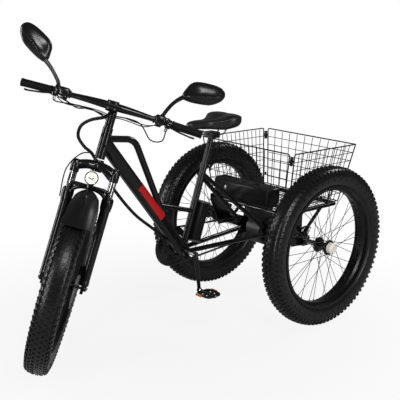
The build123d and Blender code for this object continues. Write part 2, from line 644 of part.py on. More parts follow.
# Rear frame: stays, dropouts, beam, uprights, rack and battery tray
drop_left = DRIVE_X + DRIVE_HALF
drop_right = DRIVE_X - DRIVE_HALF
rail_z = BASKET_Z - WIRE / 2 - FIT_GAP - RACK_R
beam_top = WHEEL_R + BEAM_W / 2
with BuildPart() as rear_frame:
    for side, drop in ((1, drop_left), (-1, drop_right)):
        out = drop + side * DROP_T
        with Locations(((drop + out) / 2, (DROP_FRONT + DROP_REAR) / 2, WHEEL_R)):
            Box(DROP_T, DROP_REAR - DROP_FRONT, DROP_H)
        bar((out - side * WELD_GAP, 0, WHEEL_R), (side * BEAM_END, 0, WHEEL_R), BEAM_W, BEAM_W, x_dir=(0, 1, 0))
        mid = (drop + out) / 2
        rod(up_seat(STAY_TOP) + Vector(side * STAY_SPLAY, 0, 0), (mid, DROP_FRONT + STAY_R, WHEEL_R + DROP_H / 2 - STAY_R),
            STAY_R)
        rod((side * BB_HALF * 0.7, BB_Y, BB_Z), (mid, DROP_FRONT + STAY_R, BB_Z), CHAINSTAY_R)
        rod((side * UPRIGHT_X, RACK_FRONT, rail_z), (side * RACK_HALF, RACK_FRONT, rail_z), RACK_R)
        rod((side * RACK_HALF, RACK_FRONT, rail_z), (side * RACK_HALF, RACK_REAR, rail_z), RACK_R)
        rod((side * RACK_HALF, BEAM_W / 4, beam_top - STRUT_R), (side * RACK_HALF, RACK_REAR * 0.6, rail_z), STRUT_R)
        with BuildSketch(Plane.YZ.offset(side * UPRIGHT_X - UPRIGHT_T / 2)) as plate:
            with BuildLine():
                Polyline((-BEAM_W / 4, WHEEL_R - BEAM_W / 2), (-BEAM_W / 4, rail_z + RACK_R),
                         (RACK_FRONT - RACK_R, rail_z + RACK_R), (RACK_FRONT - RACK_R, rail_z - RACK_R * 2),
                         (RACK_FRONT * 0.6, WHEEL_R - BEAM_W / 2), close=True)
            make_face()
        extrude(to_extrude=plate.sketch, amount=UPRIGHT_T)
    for y in (RACK_FRONT, RACK_REAR):
        rod((-RACK_HALF, y, rail_z), (RACK_HALF, y, rail_z), RACK_R)
        with BuildSketch(Plane.YZ.offset(side * (BEAM_END - FAN_T / 2) - FAN_T / 2)) as fan:
            with BuildLine():
                fan_foot, fan_top = beam_top - WELD_GAP, beam_top + FAN_R * 0.8
                Line((-BEAM_W / 6, fan_foot), (-FAN_R / 2, fan_top))
                ThreePointArc((-FAN_R / 2, fan_top), (0, beam_top + FAN_R), (FAN_R / 2, fan_top))
                Line((FAN_R / 2, fan_top), (BEAM_W / 6, fan_foot))
                Line((BEAM_W / 6, fan_foot), (-BEAM_W / 6, fan_foot))
            make_face()
        extrude(to_extrude=fan.sketch, amount=FAN_T)
    tray_top = BATTERY_Z - WELD_GAP
    tray_back = FLOOR_FRONT - RIM_WIRE * 2 - FIT_GAP
    tray_front = battery_front + BATTERY_D / 3
    with Locations((BATTERY_X, (tray_back + tray_front) / 2, tray_top - TRAY_T / 2)):
        Box(BATTERY_L * 0.8, tray_back - tray_front, TRAY_T)
    for share in (-0.3, 0.3):
        with Locations((BATTERY_X + BATTERY_L * share, tray_back - TRAY_T / 2, (rail_z + tray_top) / 2)):
            Box(BATTERY_D / 3, TRAY_T, tray_top - rail_z)
    rod(seat_low, seat_high, SEAT_TUBE_R + WELD_GAP, mode=Mode.SUBTRACT)
    rod((-BB_HALF - OVERRUN, BB_Y, BB_Z), (BB_HALF + OVERRUN, BB_Y, BB_Z), BB_R + WELD_GAP, mode=Mode.SUBTRACT)
    rod((-BEAM_END - OVERRUN, 0, WHEEL_R), (BEAM_END + OVERRUN, 0, WHEEL_R), AXLE_R + WELD_GAP, mode=Mode.SUBTRACT)
save(rear_frame, "rear_frame")

# Axle shafts that carry the rear wheels
wheel_inner = TRACK / 2 - HUB_HALF
with BuildPart() as shafts:
    for side, drop in ((1, drop_left), (-1, drop_right)):
        rod((side * BEAM_END * 0.5, 0, WHEEL_R), (side * (TRACK / 2 + HUB_HALF - FIT_GAP), 0, WHEEL_R), AXLE_R)
        rod((side * (BEAM_END + FIT_GAP), 0, WHEEL_R), (side * (wheel_inner - FIT_GAP), 0, WHEEL_R), AXLE_R * 1.5)
save(shafts, "axle_shafts")

# Motor block with its covers, and the sprockets beside it
cog_x0 = drop_right + COG_STEP * (len(COGS) + 1)
with BuildPart() as motor:
    rod((drop_left - FIT_GAP, 0, WHEEL_R), (cog_x0 + COG_STEP, 0, WHEEL_R), COVER_R)
    rod((drop_left - FIT_GAP - COG_STEP * 2, 0, WHEEL_R), (cog_x0 + COG_STEP * 3, 0, WHEEL_R), MOTOR_R)
save(motor, "drive_motor")

with BuildPart() as cogs:
    for teeth, step in COGS:
        x = cog_x0 - step * COG_STEP
        rod((x - COG_T, 0, WHEEL_R), (x, 0, WHEEL_R), teeth * PITCH / (2 * math.pi))
    rod((drop_right + FIT_GAP, 0, WHEEL_R), (cog_x0 + COG_STEP - FIT_GAP, 0, WHEEL_R), AXLE_R * 2)
save(cogs, "sprockets")

chain_x = cog_x0 - CHAIN_AT * COG_STEP - COG_T / 2
cog_pitch_r = COGS[CHAIN_AT][0] * PITCH / (2 * math.pi)
ring_pitch_r = RING_TEETH * PITCH / (2 * math.pi)


def belt(circles):
    """The closed route of a belt round circles given as (y, z, radius), on one side of all."""
    lines = []
    count = len(circles)
    for i in range(count):
        (y0, z0, r0), (y1, z1, r1) = circles[i], circles[(i + 1) % count]
        dy, dz = y1 - y0, z1 - z0
        gap = math.hypot(dy, dz)
        a = math.atan2(dz, dy) - math.acos((r0 - r1) / gap)
        lines.append(((y0 + r0 * math.cos(a), z0 + r0 * math.sin(a)), (y1 + r1 * math.cos(a), z1 + r1 * math.sin(a))))
    return lines


def belt_face(circles, grow):
    grown = [(y, z, r + grow) for y, z, r in circles]
    lines = belt(grown)
    with BuildLine() as route:
        for i, (start, end) in enumerate(lines):
            Line(start, end)
            y, z, r = grown[(i + 1) % len(grown)]
            following = lines[(i + 1) % len(lines)][0]
            mid_y, mid_z = (end[0] + following[0]) / 2 - y, (end[1] + following[1]) / 2 - z
            size = math.hypot(mid_y, mid_z)
            away = 1 if (mid_y * (y - sum(c[0] for c in grown) / len(grown)) >= 0) else -1
            ThreePointArc(end, (y + away * r * mid_y / size, z + away * r * mid_z / size), following)
    return route


loop = [(BB_Y, BB_Z, ring_pitch_r), (0, WHEEL_R, cog_pitch_r)]
with BuildPart() as chain:
    with BuildSketch(Plane.YZ.offset(chain_x - CHAIN_W / 2)) as band:
        make_face(belt_face(loop, CHAIN_H).edges())
        make_face(belt_face(loop, FIT_GAP * 2).edges(), mode=Mode.SUBTRACT)
    extrude(to_extrude=band.sketch, amount=CHAIN_W)
save(chain, "chain")

# Crank set, chain ring and pedals
crank_a = math.radians(CRANK_TURN)
down = Vector(0, math.sin(crank_a), -math.cos(crank_a))
ring_x = chain_x
with BuildPart() as crankset:
    rod((-CRANK_X, BB_Y, BB_Z), (CRANK_X, BB_Y, BB_Z), SPINDLE_R)
    for side in (-1, 1):
        middle = crank_axis + Vector(side * CRANK_X, 0, 0)
        end = middle + down * side * CRANK_L
        rod(middle - Vector(CRANK_T / 2, 0, 0), middle + Vector(CRANK_T / 2, 0, 0), CRANK_W / 2)
        rod(end - Vector(CRANK_T / 2, 0, 0), end + Vector(CRANK_T / 2, 0, 0), CRANK_W * 0.42)
        bar(middle, end, CRANK_T, CRANK_W * 0.8)
        rod(end, end + Vector(side * (CRANK_T / 2 + PEDAL_GAP + PEDAL_L), 0, 0), PEDAL_PIN_R)
    rod((-CRANK_X, BB_Y, BB_Z), (ring_x - RING_T / 2 - FIT_GAP, BB_Y, BB_Z), CRANK_W)
save(crankset, "crankset")
with BuildPart() as ring:
    rod((ring_x - RING_T / 2, BB_Y, BB_Z), (ring_x + RING_T / 2, BB_Y, BB_Z), ring_pitch_r)
    rod((-BB_HALF * 2, BB_Y, BB_Z), (BB_HALF, BB_Y, BB_Z), SPINDLE_R + FIT_GAP, mode=Mode.SUBTRACT)
save(ring, "chain_ring")

for side, name in ((1, "left_pedal"), (-1, "right_pedal")):
    end = crank_axis + Vector(side * CRANK_X, 0, 0) + down * side * CRANK_L
    inner = side * (CRANK_T / 2 + PEDAL_GAP)
    with BuildPart() as pedal:
        with Locations(end + Vector(inner + side * PEDAL_L / 2, 0, 0)):
            Box(PEDAL_L, PEDAL_W, PEDAL_T)
        fillet(pedal.edges().filter_by(Axis.Z), PEDAL_T / 2)
        rod(end, end + Vector(inner + side * (PEDAL_L + OVERRUN), 0, 0), PEDAL_PIN_R + BEARING_GAP, mode=Mode.SUBTRACT)
    save(pedal, name)

# Basket: upright wires inside, level wires outside, a floor of crossing wires
skin = WIRE / 2 + FIT_GAP
layer = WIRE + FIT_GAP * 2
post_skin = RIM_WIRE / 2 + FIT_GAP * 2
floor_top = BASKET_Z + layer + WIRE / 2


def wall_point(side, rear, up, out):
    """A corner of the basket's wall at a share of its height, moved outward."""
    x = side * (FLOOR_HALF + (RIM_X - FLOOR_HALF) * up + out)
    y = FLOOR_REAR + (RIM_REAR - FLOOR_REAR) * up + out if rear else FLOOR_FRONT + (RIM_FRONT - FLOOR_FRONT) * up - out
    return Vector(x, y, BASKET_Z + BASKET_H * up)


with BuildPart() as floor:
    for i in range(CELLS_WIDE + 1):
        x = -FLOOR_HALF + WIRE / 2 + (2 * FLOOR_HALF - WIRE) * i / CELLS_WIDE
        bar((x, FLOOR_FRONT, BASKET_Z), (x, FLOOR_REAR, BASKET_Z), WIRE, WIRE)
    for i in range(CELLS_DEEP + 1):
        y = FLOOR_FRONT + WIRE / 2 + (FLOOR_REAR - FLOOR_FRONT - WIRE) * i / CELLS_DEEP
        bar((-FLOOR_HALF, y, BASKET_Z + layer), (FLOOR_HALF, y, BASKET_Z + layer), WIRE, WIRE, x_dir=(0, 1, 0))
save(floor, "basket_floor")

low_up = (floor_top - BASKET_Z + FIT_GAP) / BASKET_H
high_up = 1 - RIM_WIRE * 0.7 / BASKET_H
with BuildPart() as panels:
    for side, rear in ((1, True), (-1, False)):
        for wall in ("across", "along"):
            far = (-side, rear) if wall == "across" else (side, not rear)
            cells = CELLS_WIDE if wall == "across" else CELLS_DEEP
            facing = (0, 1, 0) if wall == "across" else (1, 0, 0)

            def at(share, up, out):
                a, b = wall_point(side, rear, up, out), wall_point(*far, up, out)
                length = (b - a).length
                return a + (b - a) * (share * (1 - PANEL_GAP / length))

            for i in range(1, cells):
                bar(at(i / cells, low_up, skin - layer), at(i / cells, high_up, skin - layer), WIRE, WIRE, x_dir=facing)
            for row in range(ROWS):
                bar(at(0, row / ROWS, skin), at(1, row / ROWS, skin), WIRE, WIRE, x_dir=facing)
            bar(at(0, 1, post_skin), at(1, 1, post_skin), RIM_WIRE, RIM_WIRE, x_dir=facing)
            bar(at(1, 0, post_skin), at(1, 1, post_skin), RIM_WIRE, RIM_WIRE, x_dir=facing)
        bar(wall_point(side, rear, 0, post_skin), wall_point(side, rear, 1, post_skin), RIM_WIRE, RIM_WIRE)
save(panels, "basket_panels")

clip_r = (PANEL_GAP - RIM_WIRE) * math.sqrt(0.5) - FIT_GAP
with BuildPart() as clips:
    for side, rear in ((-1, True), (1, False)):
        inward = Vector(-side, -1 if rear else 1, 0) * (PANEL_GAP / 2)
        top = wall_point(side, rear, 1 - CLIP_W / BASKET_H, post_skin) + inward
        rod(top, wall_point(side, rear, 1 - (CLIP_W + CLIP_H) / BASKET_H, post_skin) + inward, clip_r)
save(clips, "basket_clips")

# Cables. Their routes follow the photograph and stay as chosen.
def cord(points, radius):
    """A round cord through the points of its route."""
    with BuildLine() as route:
        Spline(*points)
    line = route.wire()
    with BuildSketch(Plane(origin=line @ 0, z_dir=line % 0)) as section:
        Circle(radius)
    sweep(sections=section.sketch, path=line)


# Frame harness: place across, share of the down tube's length, and distance under its middle line
FRAME_ROUTE = [(-8, 0.224, 74.9), (0, 0.289, 88), (0, 0.517, 80.3), (0, 0.7546, 45.5), (-14, 0.9135, 46.4),
               (-24, 0.99, 41.5), (-24, 1.0303, 19.8)]
down_way = down_axis.normalized()
down_under = Vector(0, down_way.Z, -down_way.Y)
frame_points = [down_top + down_axis * share + down_under * under + Vector(across, 0, 0)
                for across, share, under in FRAME_ROUTE]
with BuildPart() as frame_harness:
    cord(frame_points, HARNESS_R)
save(frame_harness, "frame_harness")

# Steering harness: from the stem's middle, to the left, to the rear and up; it ends over the frame harness
HARNESS_ROUTE = [(59.5, -55.4, -4.2), (66, -92.4, -17.5), (20, -126.4, -31.5), (-60, -119.4, -66.5),
                 (-92, -112.4, -113.5), (-62, -104.4, -151.5), (-44, -79.4, -181.5), (-42, -42.4, -241.5)]
HARNESS_MEET = Vector(-2.4, -2.0, 4.0)
harness_points = [on_axis(STEM_AT) + Vector(*step) for step in HARNESS_ROUTE] + [frame_points[0] + HARNESS_MEET]
with BuildPart() as crossing_harness:
    cord(harness_points, HARNESS_R)
save(crossing_harness, "steering_harness")

# Thin cables in the steering's own frame: left, to the rear, and along the axis from the stem or the tyre
LEVER_ROUTES = [
    (-1, [(-226, -118, -38), (-205, -138, -44), (-110, -150, -36), (-36, -150, -42), (-8, -142, -58)]),
    (1, [(227, -120, -40), (222, -140, -78), (178, -146, -86), (120, -148, -36), (36, -150, -36), (8, -142, -56)])]
CALIPER_ROUTE = [(-24, -74, 160), (-72, -74, 140), (-112, -50, 68), (-108, -40, -42)]
perch_foot = bar_at(perch_out + PERCH_L / 2, 1) - Vector(0, LEVER_W, LEVER_DOWN * 1.75 + CABLE_R * 0.4)
cable_points = [[Vector(side * perch_foot.X, perch_foot.Y, perch_foot.Z)] + [Vector(x, y, STEM_AT + z) for x, y, z in steps]
                for side, steps in LEVER_ROUTES]
cable_points.append([Vector(x, y, WHEEL_R + z) for x, y, z in CALIPER_ROUTE])
with BuildPart() as steering_cables:
    for route in cable_points:
        cord(route, CABLE_R)
save(steering_cables, "steering_cables", STEER)
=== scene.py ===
"""Looks of a fat-tyred electric cargo tricycle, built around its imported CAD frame.

Axes are the frame's own: +X to the vehicle's left, +Y to its rear, +Z up. Shapes are worked out in
millimetres as whole numpy arrays and put into their meshes in metres.
"""

import math

import bmesh
import bpy
import numpy as np
from mathutils import Matrix, Vector


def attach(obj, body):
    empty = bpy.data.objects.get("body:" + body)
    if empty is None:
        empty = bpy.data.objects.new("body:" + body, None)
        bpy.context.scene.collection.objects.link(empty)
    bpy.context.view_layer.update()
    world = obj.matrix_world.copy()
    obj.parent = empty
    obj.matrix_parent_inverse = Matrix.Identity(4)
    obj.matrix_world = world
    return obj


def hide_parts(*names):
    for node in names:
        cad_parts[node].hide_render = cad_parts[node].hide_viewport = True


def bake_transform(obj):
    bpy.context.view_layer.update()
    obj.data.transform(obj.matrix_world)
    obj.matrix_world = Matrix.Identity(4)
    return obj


bl_info = {
    "name": "Electric cargo tricycle",
    "version": (1, 0, 0),
    "blender": (4, 5, 0),
    "location": "3D View > Sidebar > Tricycle",
    "description": "Builds the tyres, basket, drive, controls and finishes of the tricycle",
    "category": "Object",
}

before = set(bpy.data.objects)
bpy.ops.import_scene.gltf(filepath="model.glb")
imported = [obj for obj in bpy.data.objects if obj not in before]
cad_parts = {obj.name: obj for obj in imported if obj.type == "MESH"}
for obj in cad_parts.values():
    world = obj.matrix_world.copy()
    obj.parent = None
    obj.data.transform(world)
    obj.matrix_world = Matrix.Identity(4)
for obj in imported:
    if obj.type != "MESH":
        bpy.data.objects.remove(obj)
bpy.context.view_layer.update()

# Places and sizes that the CAD shares, in millimetres
TURN, MM = math.tau, 1000.0
LEFT = np.array([1.0, 0.0, 0.0])
WHEEL_R, TRACK = 372.0, 759.0
RIM_FOOT = 261.7  # radius at which the spokes enter the rim
SPOKES = 18  # on each side of a wheel
FLANGE_X, SPOKE_HOLE_R = 30.0, 32.4
SPOKE_LEAN, SPOKE_SPREAD = math.radians(62), 6.0
FOOT = np.array([0.0, -1149.85, 351.533])  # foot of the steering axis; steering pieces are measured from it
LEFT_WAY = np.array([0.64678978, 0.71437021, -0.26709208])
AXIS_WAY = np.array([0.0, 0.35020738, 0.93667219])
REAR_WAY = np.cross(AXIS_WAY, LEFT_WAY)
AXLE_AHEAD = 45.0  # of the steering axis
LEG_X, LEG_Y = 81.0, -40.0
STEM_AT, STEM_REACH = 726.0, 112.0
BAR_HALF, BAR_FLAT = 364.0, 70.0
BAR_SWEEP, BAR_DROP = 22.0, 7.0
GRIP_FROM, GRIP_TO, LEVER_FROM, LEVER_TO, POD_AT, COLLAR_AT = 242.0, 368.0, 216.0, 241.0, 194.0, 170.0
MIRRORS = (  # side, middle in the steering frame, tilt in degrees, place on the bar
    (-1, (-357.0, 881.0), 44.0, 224.0), (1, (330.0, 868.0), 20.0, 198.0))
CRANK_AXIS = np.array([0.0, -525.0, 362.0])
CRANK_WAY = np.array([0.0, math.sin(math.radians(8)), -math.cos(math.radians(8))])
CRANK_OUT, CRANK_LENGTH = 92.0, 171.0
CHAIN_X, RING_R, COG_R = -70.9, 84.89, 48.51
CHAIN_PITCH = 12.7
DOWN_TOP = FOOT + 585.0 * AXIS_WAY
SEAT_WAY = np.array([0.0, math.cos(math.radians(72)), math.sin(math.radians(72))])
SEAT_BACK = np.array([0.0, math.sin(math.radians(72)), -math.cos(math.radians(72))])
SEAT_NOSE, SEAT_LONG, SEAT_HALF = -505.0, 254.0, 93.0
SEAT_LOW, SEAT_RISE = 900.0, 62.0
BASKET_HALF, BASKET_FRONT, BASKET_REAR = 240.0, -114.0, 246.0
BASKET_FLOOR, BASKET_TALL = 519.0, 281.0
FLARE_SIDE, FLARE_FRONT, FLARE_REAR = 54.0, 29.0, 44.0  # of the basket's rim, past its floor
CORNER_GAP = 16.0  # between two of the basket's walls
BATTERY = np.array([47.0, -179.0, 593.0])

LOOK = {}  # every material by its name, filled by the first operator


def placed(origin, left, rear, up):
    """A 4 by 4 matrix whose columns are three directions and an origin."""
    matrix = np.eye(4)
    matrix[:3, 0], matrix[:3, 1], matrix[:3, 2], matrix[:3, 3] = left, rear, up, origin
    return matrix


STEER = placed(FOOT, LEFT_WAY, REAR_WAY, AXIS_WAY)
WHEELS = {
    "left": ("left_wheel", placed((TRACK / 2, 0, WHEEL_R), LEFT, (0, 1, 0), (0, 0, 1))),
    "right": ("right_wheel", placed((-TRACK / 2, 0, WHEEL_R), -LEFT, (0, -1, 0), (0, 0, 1))),
    "front": ("front_wheel", placed(FOOT - AXLE_AHEAD * REAR_WAY, LEFT_WAY, REAR_WAY, AXIS_WAY)),
}


# ---------------------------------------------------------------- surfaces
def moved(points, matrix):
    """Points times a 4 by 4 matrix."""
    return points @ matrix[:3, :3].T + matrix[:3, 3]


def mirrored(middle, half, count):
    """A smooth curve from the right to the left through a middle point and a half route on either side of it."""
    return through([(-x, y, z) for x, y, z in half[::-1]] + [middle] + half, count)


def unit(ways):
    """Directions made one long, one to a row."""
    return ways / np.linalg.norm(ways, axis=-1, keepdims=True)


def around(count):
    """Angles at even steps round a turn."""
    return np.linspace(0, TURN, count, endpoint=False)


def lengths(path):
    """The distance along a path at each of its points."""
    return np.concatenate([[0], np.cumsum(np.linalg.norm(np.diff(path, axis=0), axis=1))])


def sheet(top, low):
    """A thin sheet between two grids of points: a row runs over the top and back below, and the first and the last
    row close on the middle between the two."""
    loop = np.concatenate([top, low[:, ::-1]], 1)
    half = (top + low) / 2
    ends = np.concatenate([half, half[:, ::-1]], 1)
    return np.concatenate([ends[:1], loop, ends[-1:]])


def spun(points, angles):
    """Copies of points, each turned about X by one of the angles: (y, z) becomes (y cos - z sin, y sin + z cos)."""
    c, s = np.cos(angles)[:, None], np.sin(angles)[:, None]
    x = np.broadcast_to(points[:, 0], (len(angles), len(points)))
    return np.stack([x, points[:, 1] * c - points[:, 2] * s, points[:, 1] * s + points[:, 2] * c], 2).reshape(-1, 3)


def grid_faces(rows, columns, wrap_rows=False, wrap_columns=True):
    """Quads of a grid of points, row after row; a wrapped way joins its last line to its first."""
    r = np.arange(rows if wrap_rows else rows - 1)[:, None]
    c = np.arange(columns if wrap_columns else columns - 1)[None, :]
    r1, c1 = (r + 1) % rows, (c + 1) % columns
    return np.stack([r * columns + c, r * columns + c1, r1 * columns + c1, r1 * columns + c], 2).reshape(-1, 4)


def repeated(faces, points_each, count):
    """The same faces for each of several copies of a set of points."""
    return (faces[None] + points_each * np.arange(count)[:, None, None]).reshape(-1, faces.shape[1])


def through(points, count):
    """A smooth curve through points: between two of them it is the cubic whose slopes are half the step
    from the point before to the point after."""
    p = np.asarray(points, float)
    p = np.vstack([2 * p[0] - p[1], p, 2 * p[-1] - p[-2]])
    t = np.linspace(0, len(p) - 3 - 1e-9, count)
    i = t.astype(int)
    u = (t - i)[:, None]
    a, b, c, d = p[i], p[i + 1], p[i + 2], p[i + 3]
    return 0.5 * (2 * b + (c - a) * u + (2 * a - 5 * b + 4 * c - d) * u ** 2 + (3 * b - a - 3 * c + d) * u ** 3)


class Shell:
    """Sets of points and faces gathered into one mesh, each set with a finish."""

    def __init__(self):
        self.points, self.faces, self.finish, self.marks, self.count = [], [], [], [], 0

    def add(self, points, faces, finish=0, mark=0.0):
        """Take in points with their faces; a mark is a number that a material can read from each point."""
        points = np.asarray(points, float).reshape(-1, 3)
        self.points.append(points)
        self.faces.append(np.asarray(faces) + self.count)
        self.finish.append(np.full(len(faces), finish))
        self.marks.append(np.broadcast_to(np.asarray(mark, float).ravel(), (len(points),)))
        self.count += len(points)

    def tube(self, path, radius, sides=12, across=(0, 0, 1), flat=1.0, closed=False, finish=0, mark=0.0):
        """A round or flattened section carried along a path. Each ring is path + radius (cos a * side +
        flat sin a * rise), where side is square to the path and to the across direction, and rise to both.
        Ends close on a point."""
        path = np.asarray(path, float)
        step = unit(np.roll(path, -1, 0) - np.roll(path, 1, 0) if closed else np.gradient(path, axis=0))
        side = unit(np.cross(step, np.asarray(across, float)))
        rise = np.cross(side, step)
        a = around(sides)[None, :, None]
        r = np.broadcast_to(np.asarray(radius, float).ravel(), (len(path),))[:, None, None]
        rings = path[:, None] + r * (np.cos(a) * side[:, None] + flat * np.sin(a) * rise[:, None])
        if not closed:
            ends = np.repeat(path[[0, -1], None], sides, 1)
            rings = np.concatenate([ends[:1], rings, ends[1:]])
        self.add(rings, grid_faces(len(rings), sides, wrap_rows=closed), finish, mark)

    def wrapped(self, path, across):
        """A harness: a tube along a path whose mark is the distance along it."""
        run = lengths(path)
        self.tube(path, 6.8, 14, across, mark=np.repeat(np.concatenate([[0], run, run[-1:]]), 14))

    def turned(self, profile, origin, axis, count=32, finish=0, closed=False):
        """A surface of revolution: a profile of (distance along the axis, radius) turned about the axis."""
        profile = np.asarray(profile, float)
        axis = unit(np.asarray(axis, float))
        side = unit(np.cross(axis, (0, 0, 1.0) if abs(axis[2]) < 0.9 else LEFT))
        rise = np.cross(axis, side)
        a = around(count)[:, None]
        ring = np.cos(a) * side + np.sin(a) * rise
        rings = np.asarray(origin, float) + profile[:, 0, None, None] * axis + profile[:, 1, None, None] * ring
        self.add(rings, grid_faces(len(rings), count, wrap_rows=closed), finish)

    def rods(self, starts, ends, radius, sides=8, finish=0):
        """Many straight round rods at once: each is a ring of points and a middle point at either end."""
        starts, ends = np.atleast_2d(np.asarray(starts, float)), np.atleast_2d(np.asarray(ends, float))
        way = unit(ends - starts)
        side = unit(np.cross(way, np.where(np.abs(way[:, 2:3]) < 0.9, [[0, 0, 1.0]], [[1.0, 0, 0]])))
        rise = np.cross(way, side)
        a = around(sides)[None, :, None]
        ring = radius * (np.cos(a) * side[:, None] + np.sin(a) * rise[:, None])
        starts, ends, none = starts[:, None], ends[:, None], np.zeros_like(ring)
        rings = np.stack([starts + none, starts + ring, ends + ring, ends + none], 1)
        self.add(rings, repeated(grid_faces(4, sides), 4 * sides, len(starts)), finish)

    def block(self, centre, half, corner, axes=None, finish=0, steps=3):
        """A box with rounded edges: each point is the box's inner corner, plus the corner radius times a direction
        of a sphere; the flats lie between the directions on either side of each change of sign."""
        across = 4 * steps
        a = (np.arange(across) + 0.5) * TURN / across
        b = (np.arange(2 * steps) + 0.5) * math.pi / (2 * steps) - math.pi / 2
        b = np.concatenate([[-math.pi / 2], b, [math.pi / 2]])[:, None]
        way = np.stack([np.cos(b) * np.cos(a), np.cos(b) * np.sin(a), np.sin(b) + 0 * a], 2)
        way[np.abs(way) < 1e-9] = 0
        points = (np.sign(way) * (np.asarray(half, float) - corner) + corner * way).reshape(-1, 3)
        if axes is not None:
            points = points @ np.asarray(axes, float)
        self.add(points + np.asarray(centre, float), grid_faces(len(b), across), finish)

    def annulus(self, outer, inner, x0, x1, centre, finish=0):
        """A flat ring square to X between two outlines given as a radius for each angle."""
        a = around(len(outer))
        rings = [np.stack([np.full_like(a, x), r * np.cos(a), r * np.sin(a)], 1) for x, r in
                 ((x0, outer), (x1, outer), (x1, inner), (x0, inner))]
        self.add(np.array(rings) + np.asarray(centre, float), grid_faces(4, len(a), wrap_rows=True), finish)

    def build(self, name, finishes, body, replaces=(), place=None, sharp=38.0):
        """Make the object in metres, with outward faces and its finishes by name, and let it ride on its body."""
        points = np.concatenate(self.points)
        if place is not None:
            points = moved(points, place)
        mesh = bpy.data.meshes.new(name)
        sizes = np.concatenate([np.full(len(f), f.shape[1]) for f in self.faces])
        loops = np.concatenate([f.ravel() for f in self.faces])
        mesh.vertices.add(len(points))
        mesh.vertices.foreach_set("co", (points / MM).ravel())
        mesh.loops.add(len(loops))
        mesh.loops.foreach_set("vertex_index", loops)
        mesh.polygons.add(len(sizes))
        mesh.polygons.foreach_set("loop_start", np.concatenate([[0], np.cumsum(sizes)[:-1]]))
        mesh.polygons.foreach_set("loop_total", sizes)
        mesh.polygons.foreach_set("material_index", np.concatenate(self.finish))
        mesh.update(calc_edges=True)
        mark = mesh.attributes.new("mark", "FLOAT", "POINT")
        mark.data.foreach_set("value", np.concatenate(self.marks))
        tidy = bmesh.new()
        tidy.from_mesh(mesh)
        bmesh.ops.remove_doubles(tidy, verts=tidy.verts, dist=1e-6)
        bmesh.ops.dissolve_degenerate(tidy, edges=tidy.edges, dist=1e-6)
        bmesh.ops.recalc_face_normals(tidy, faces=tidy.faces)
        tidy.to_mesh(mesh)
        tidy.free()
        mesh.set_sharp_from_angle(angle=math.radians(sharp))
        mesh.polygons.foreach_set("use_smooth", np.ones(len(mesh.polygons), bool))
        for finish in finishes:
            mesh.materials.append(LOOK[finish])
        piece = bpy.data.objects.new(name, mesh)
        bpy.context.scene.collection.objects.link(piece)
        if body:
            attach(piece, body)
        if replaces:
            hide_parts(*replaces)
        return piece


# ---------------------------------------------------------------- finishes
class Value:
    """An output in a tree of nodes; an expression on values adds its Math nodes."""

    def __init__(self, nodes, socket):
        self.nodes, self.socket = nodes, socket

    def beside(self, output):
        """Another output of the same node."""
        return Value(self.nodes, self.socket.node.outputs[output])

    def maths(self, operation, first, second):
        """A Math node on two values or numbers."""
        return self.nodes.node("ShaderNodeMath", {"operation": operation}, {0: first, 1: second})

    def most(self, other):
        """The larger of two values."""
        return self.maths("MAXIMUM", self, other)

    def __add__(self, other):
        return self.maths("ADD", self, other)

    def __sub__(self, other):
        return self.maths("SUBTRACT", self, other)

    def __rsub__(self, other):
        return self.maths("SUBTRACT", other, self)

    def __mul__(self, other):
        return self.maths("MULTIPLY", self, other)

    def __gt__(self, other):
        return self.maths("GREATER_THAN", self, other)

    def __lt__(self, other):
        return self.maths("LESS_THAN", self, other)

    __radd__ = __add__
    __rmul__ = __mul__


def opaque(colour):
    """A colour with its full alpha; anything else stays as it is."""
    return (*colour, 1.0) if isinstance(colour, tuple) and len(colour) == 3 else colour


def scaled(colour, factor, more=0.0):
    """A colour times a number, plus another."""
    return tuple(part * factor + more for part in colour)


class Nodes:
    """A tree of shader nodes."""

    def __init__(self, tree):
        self.tree = tree

    def fill(self, socket, value):
        """Link a value to a socket, or set the socket to a number, a vector or a colour."""
        if isinstance(value, Value):
            self.tree.links.new(value.socket, socket)
        else:
            socket.default_value = value

    def node(self, kind, settings, inputs, output=0):
        """Add a node of one kind with its settings, its sockets' values or links, and return one output."""
        made = self.tree.nodes.new(kind)
        for key, value in settings.items():
            setattr(made, key, value)
        for key, value in inputs.items():
            self.fill(made.inputs[key], value)
        return Value(self, made.outputs[output]) if made.outputs else None

    def mixed_surface(self, share, first, second):
        """A Mix Shader between two surfaces or backgrounds."""
        return self.node("ShaderNodeMixShader", {}, {0: share, 1: first, 2: second})

    def seen(self):
        """How much of the white surround a ray shows: all of it to the camera and through glass, and the share
        SHOWN_IN_GLOSS of it in reflections."""
        camera = self.node("ShaderNodeLightPath", {}, {}, "Is Camera Ray")
        return camera.most(camera.beside("Is Transmission Ray").most(camera.beside("Is Glossy Ray") * SHOWN_IN_GLOSS))


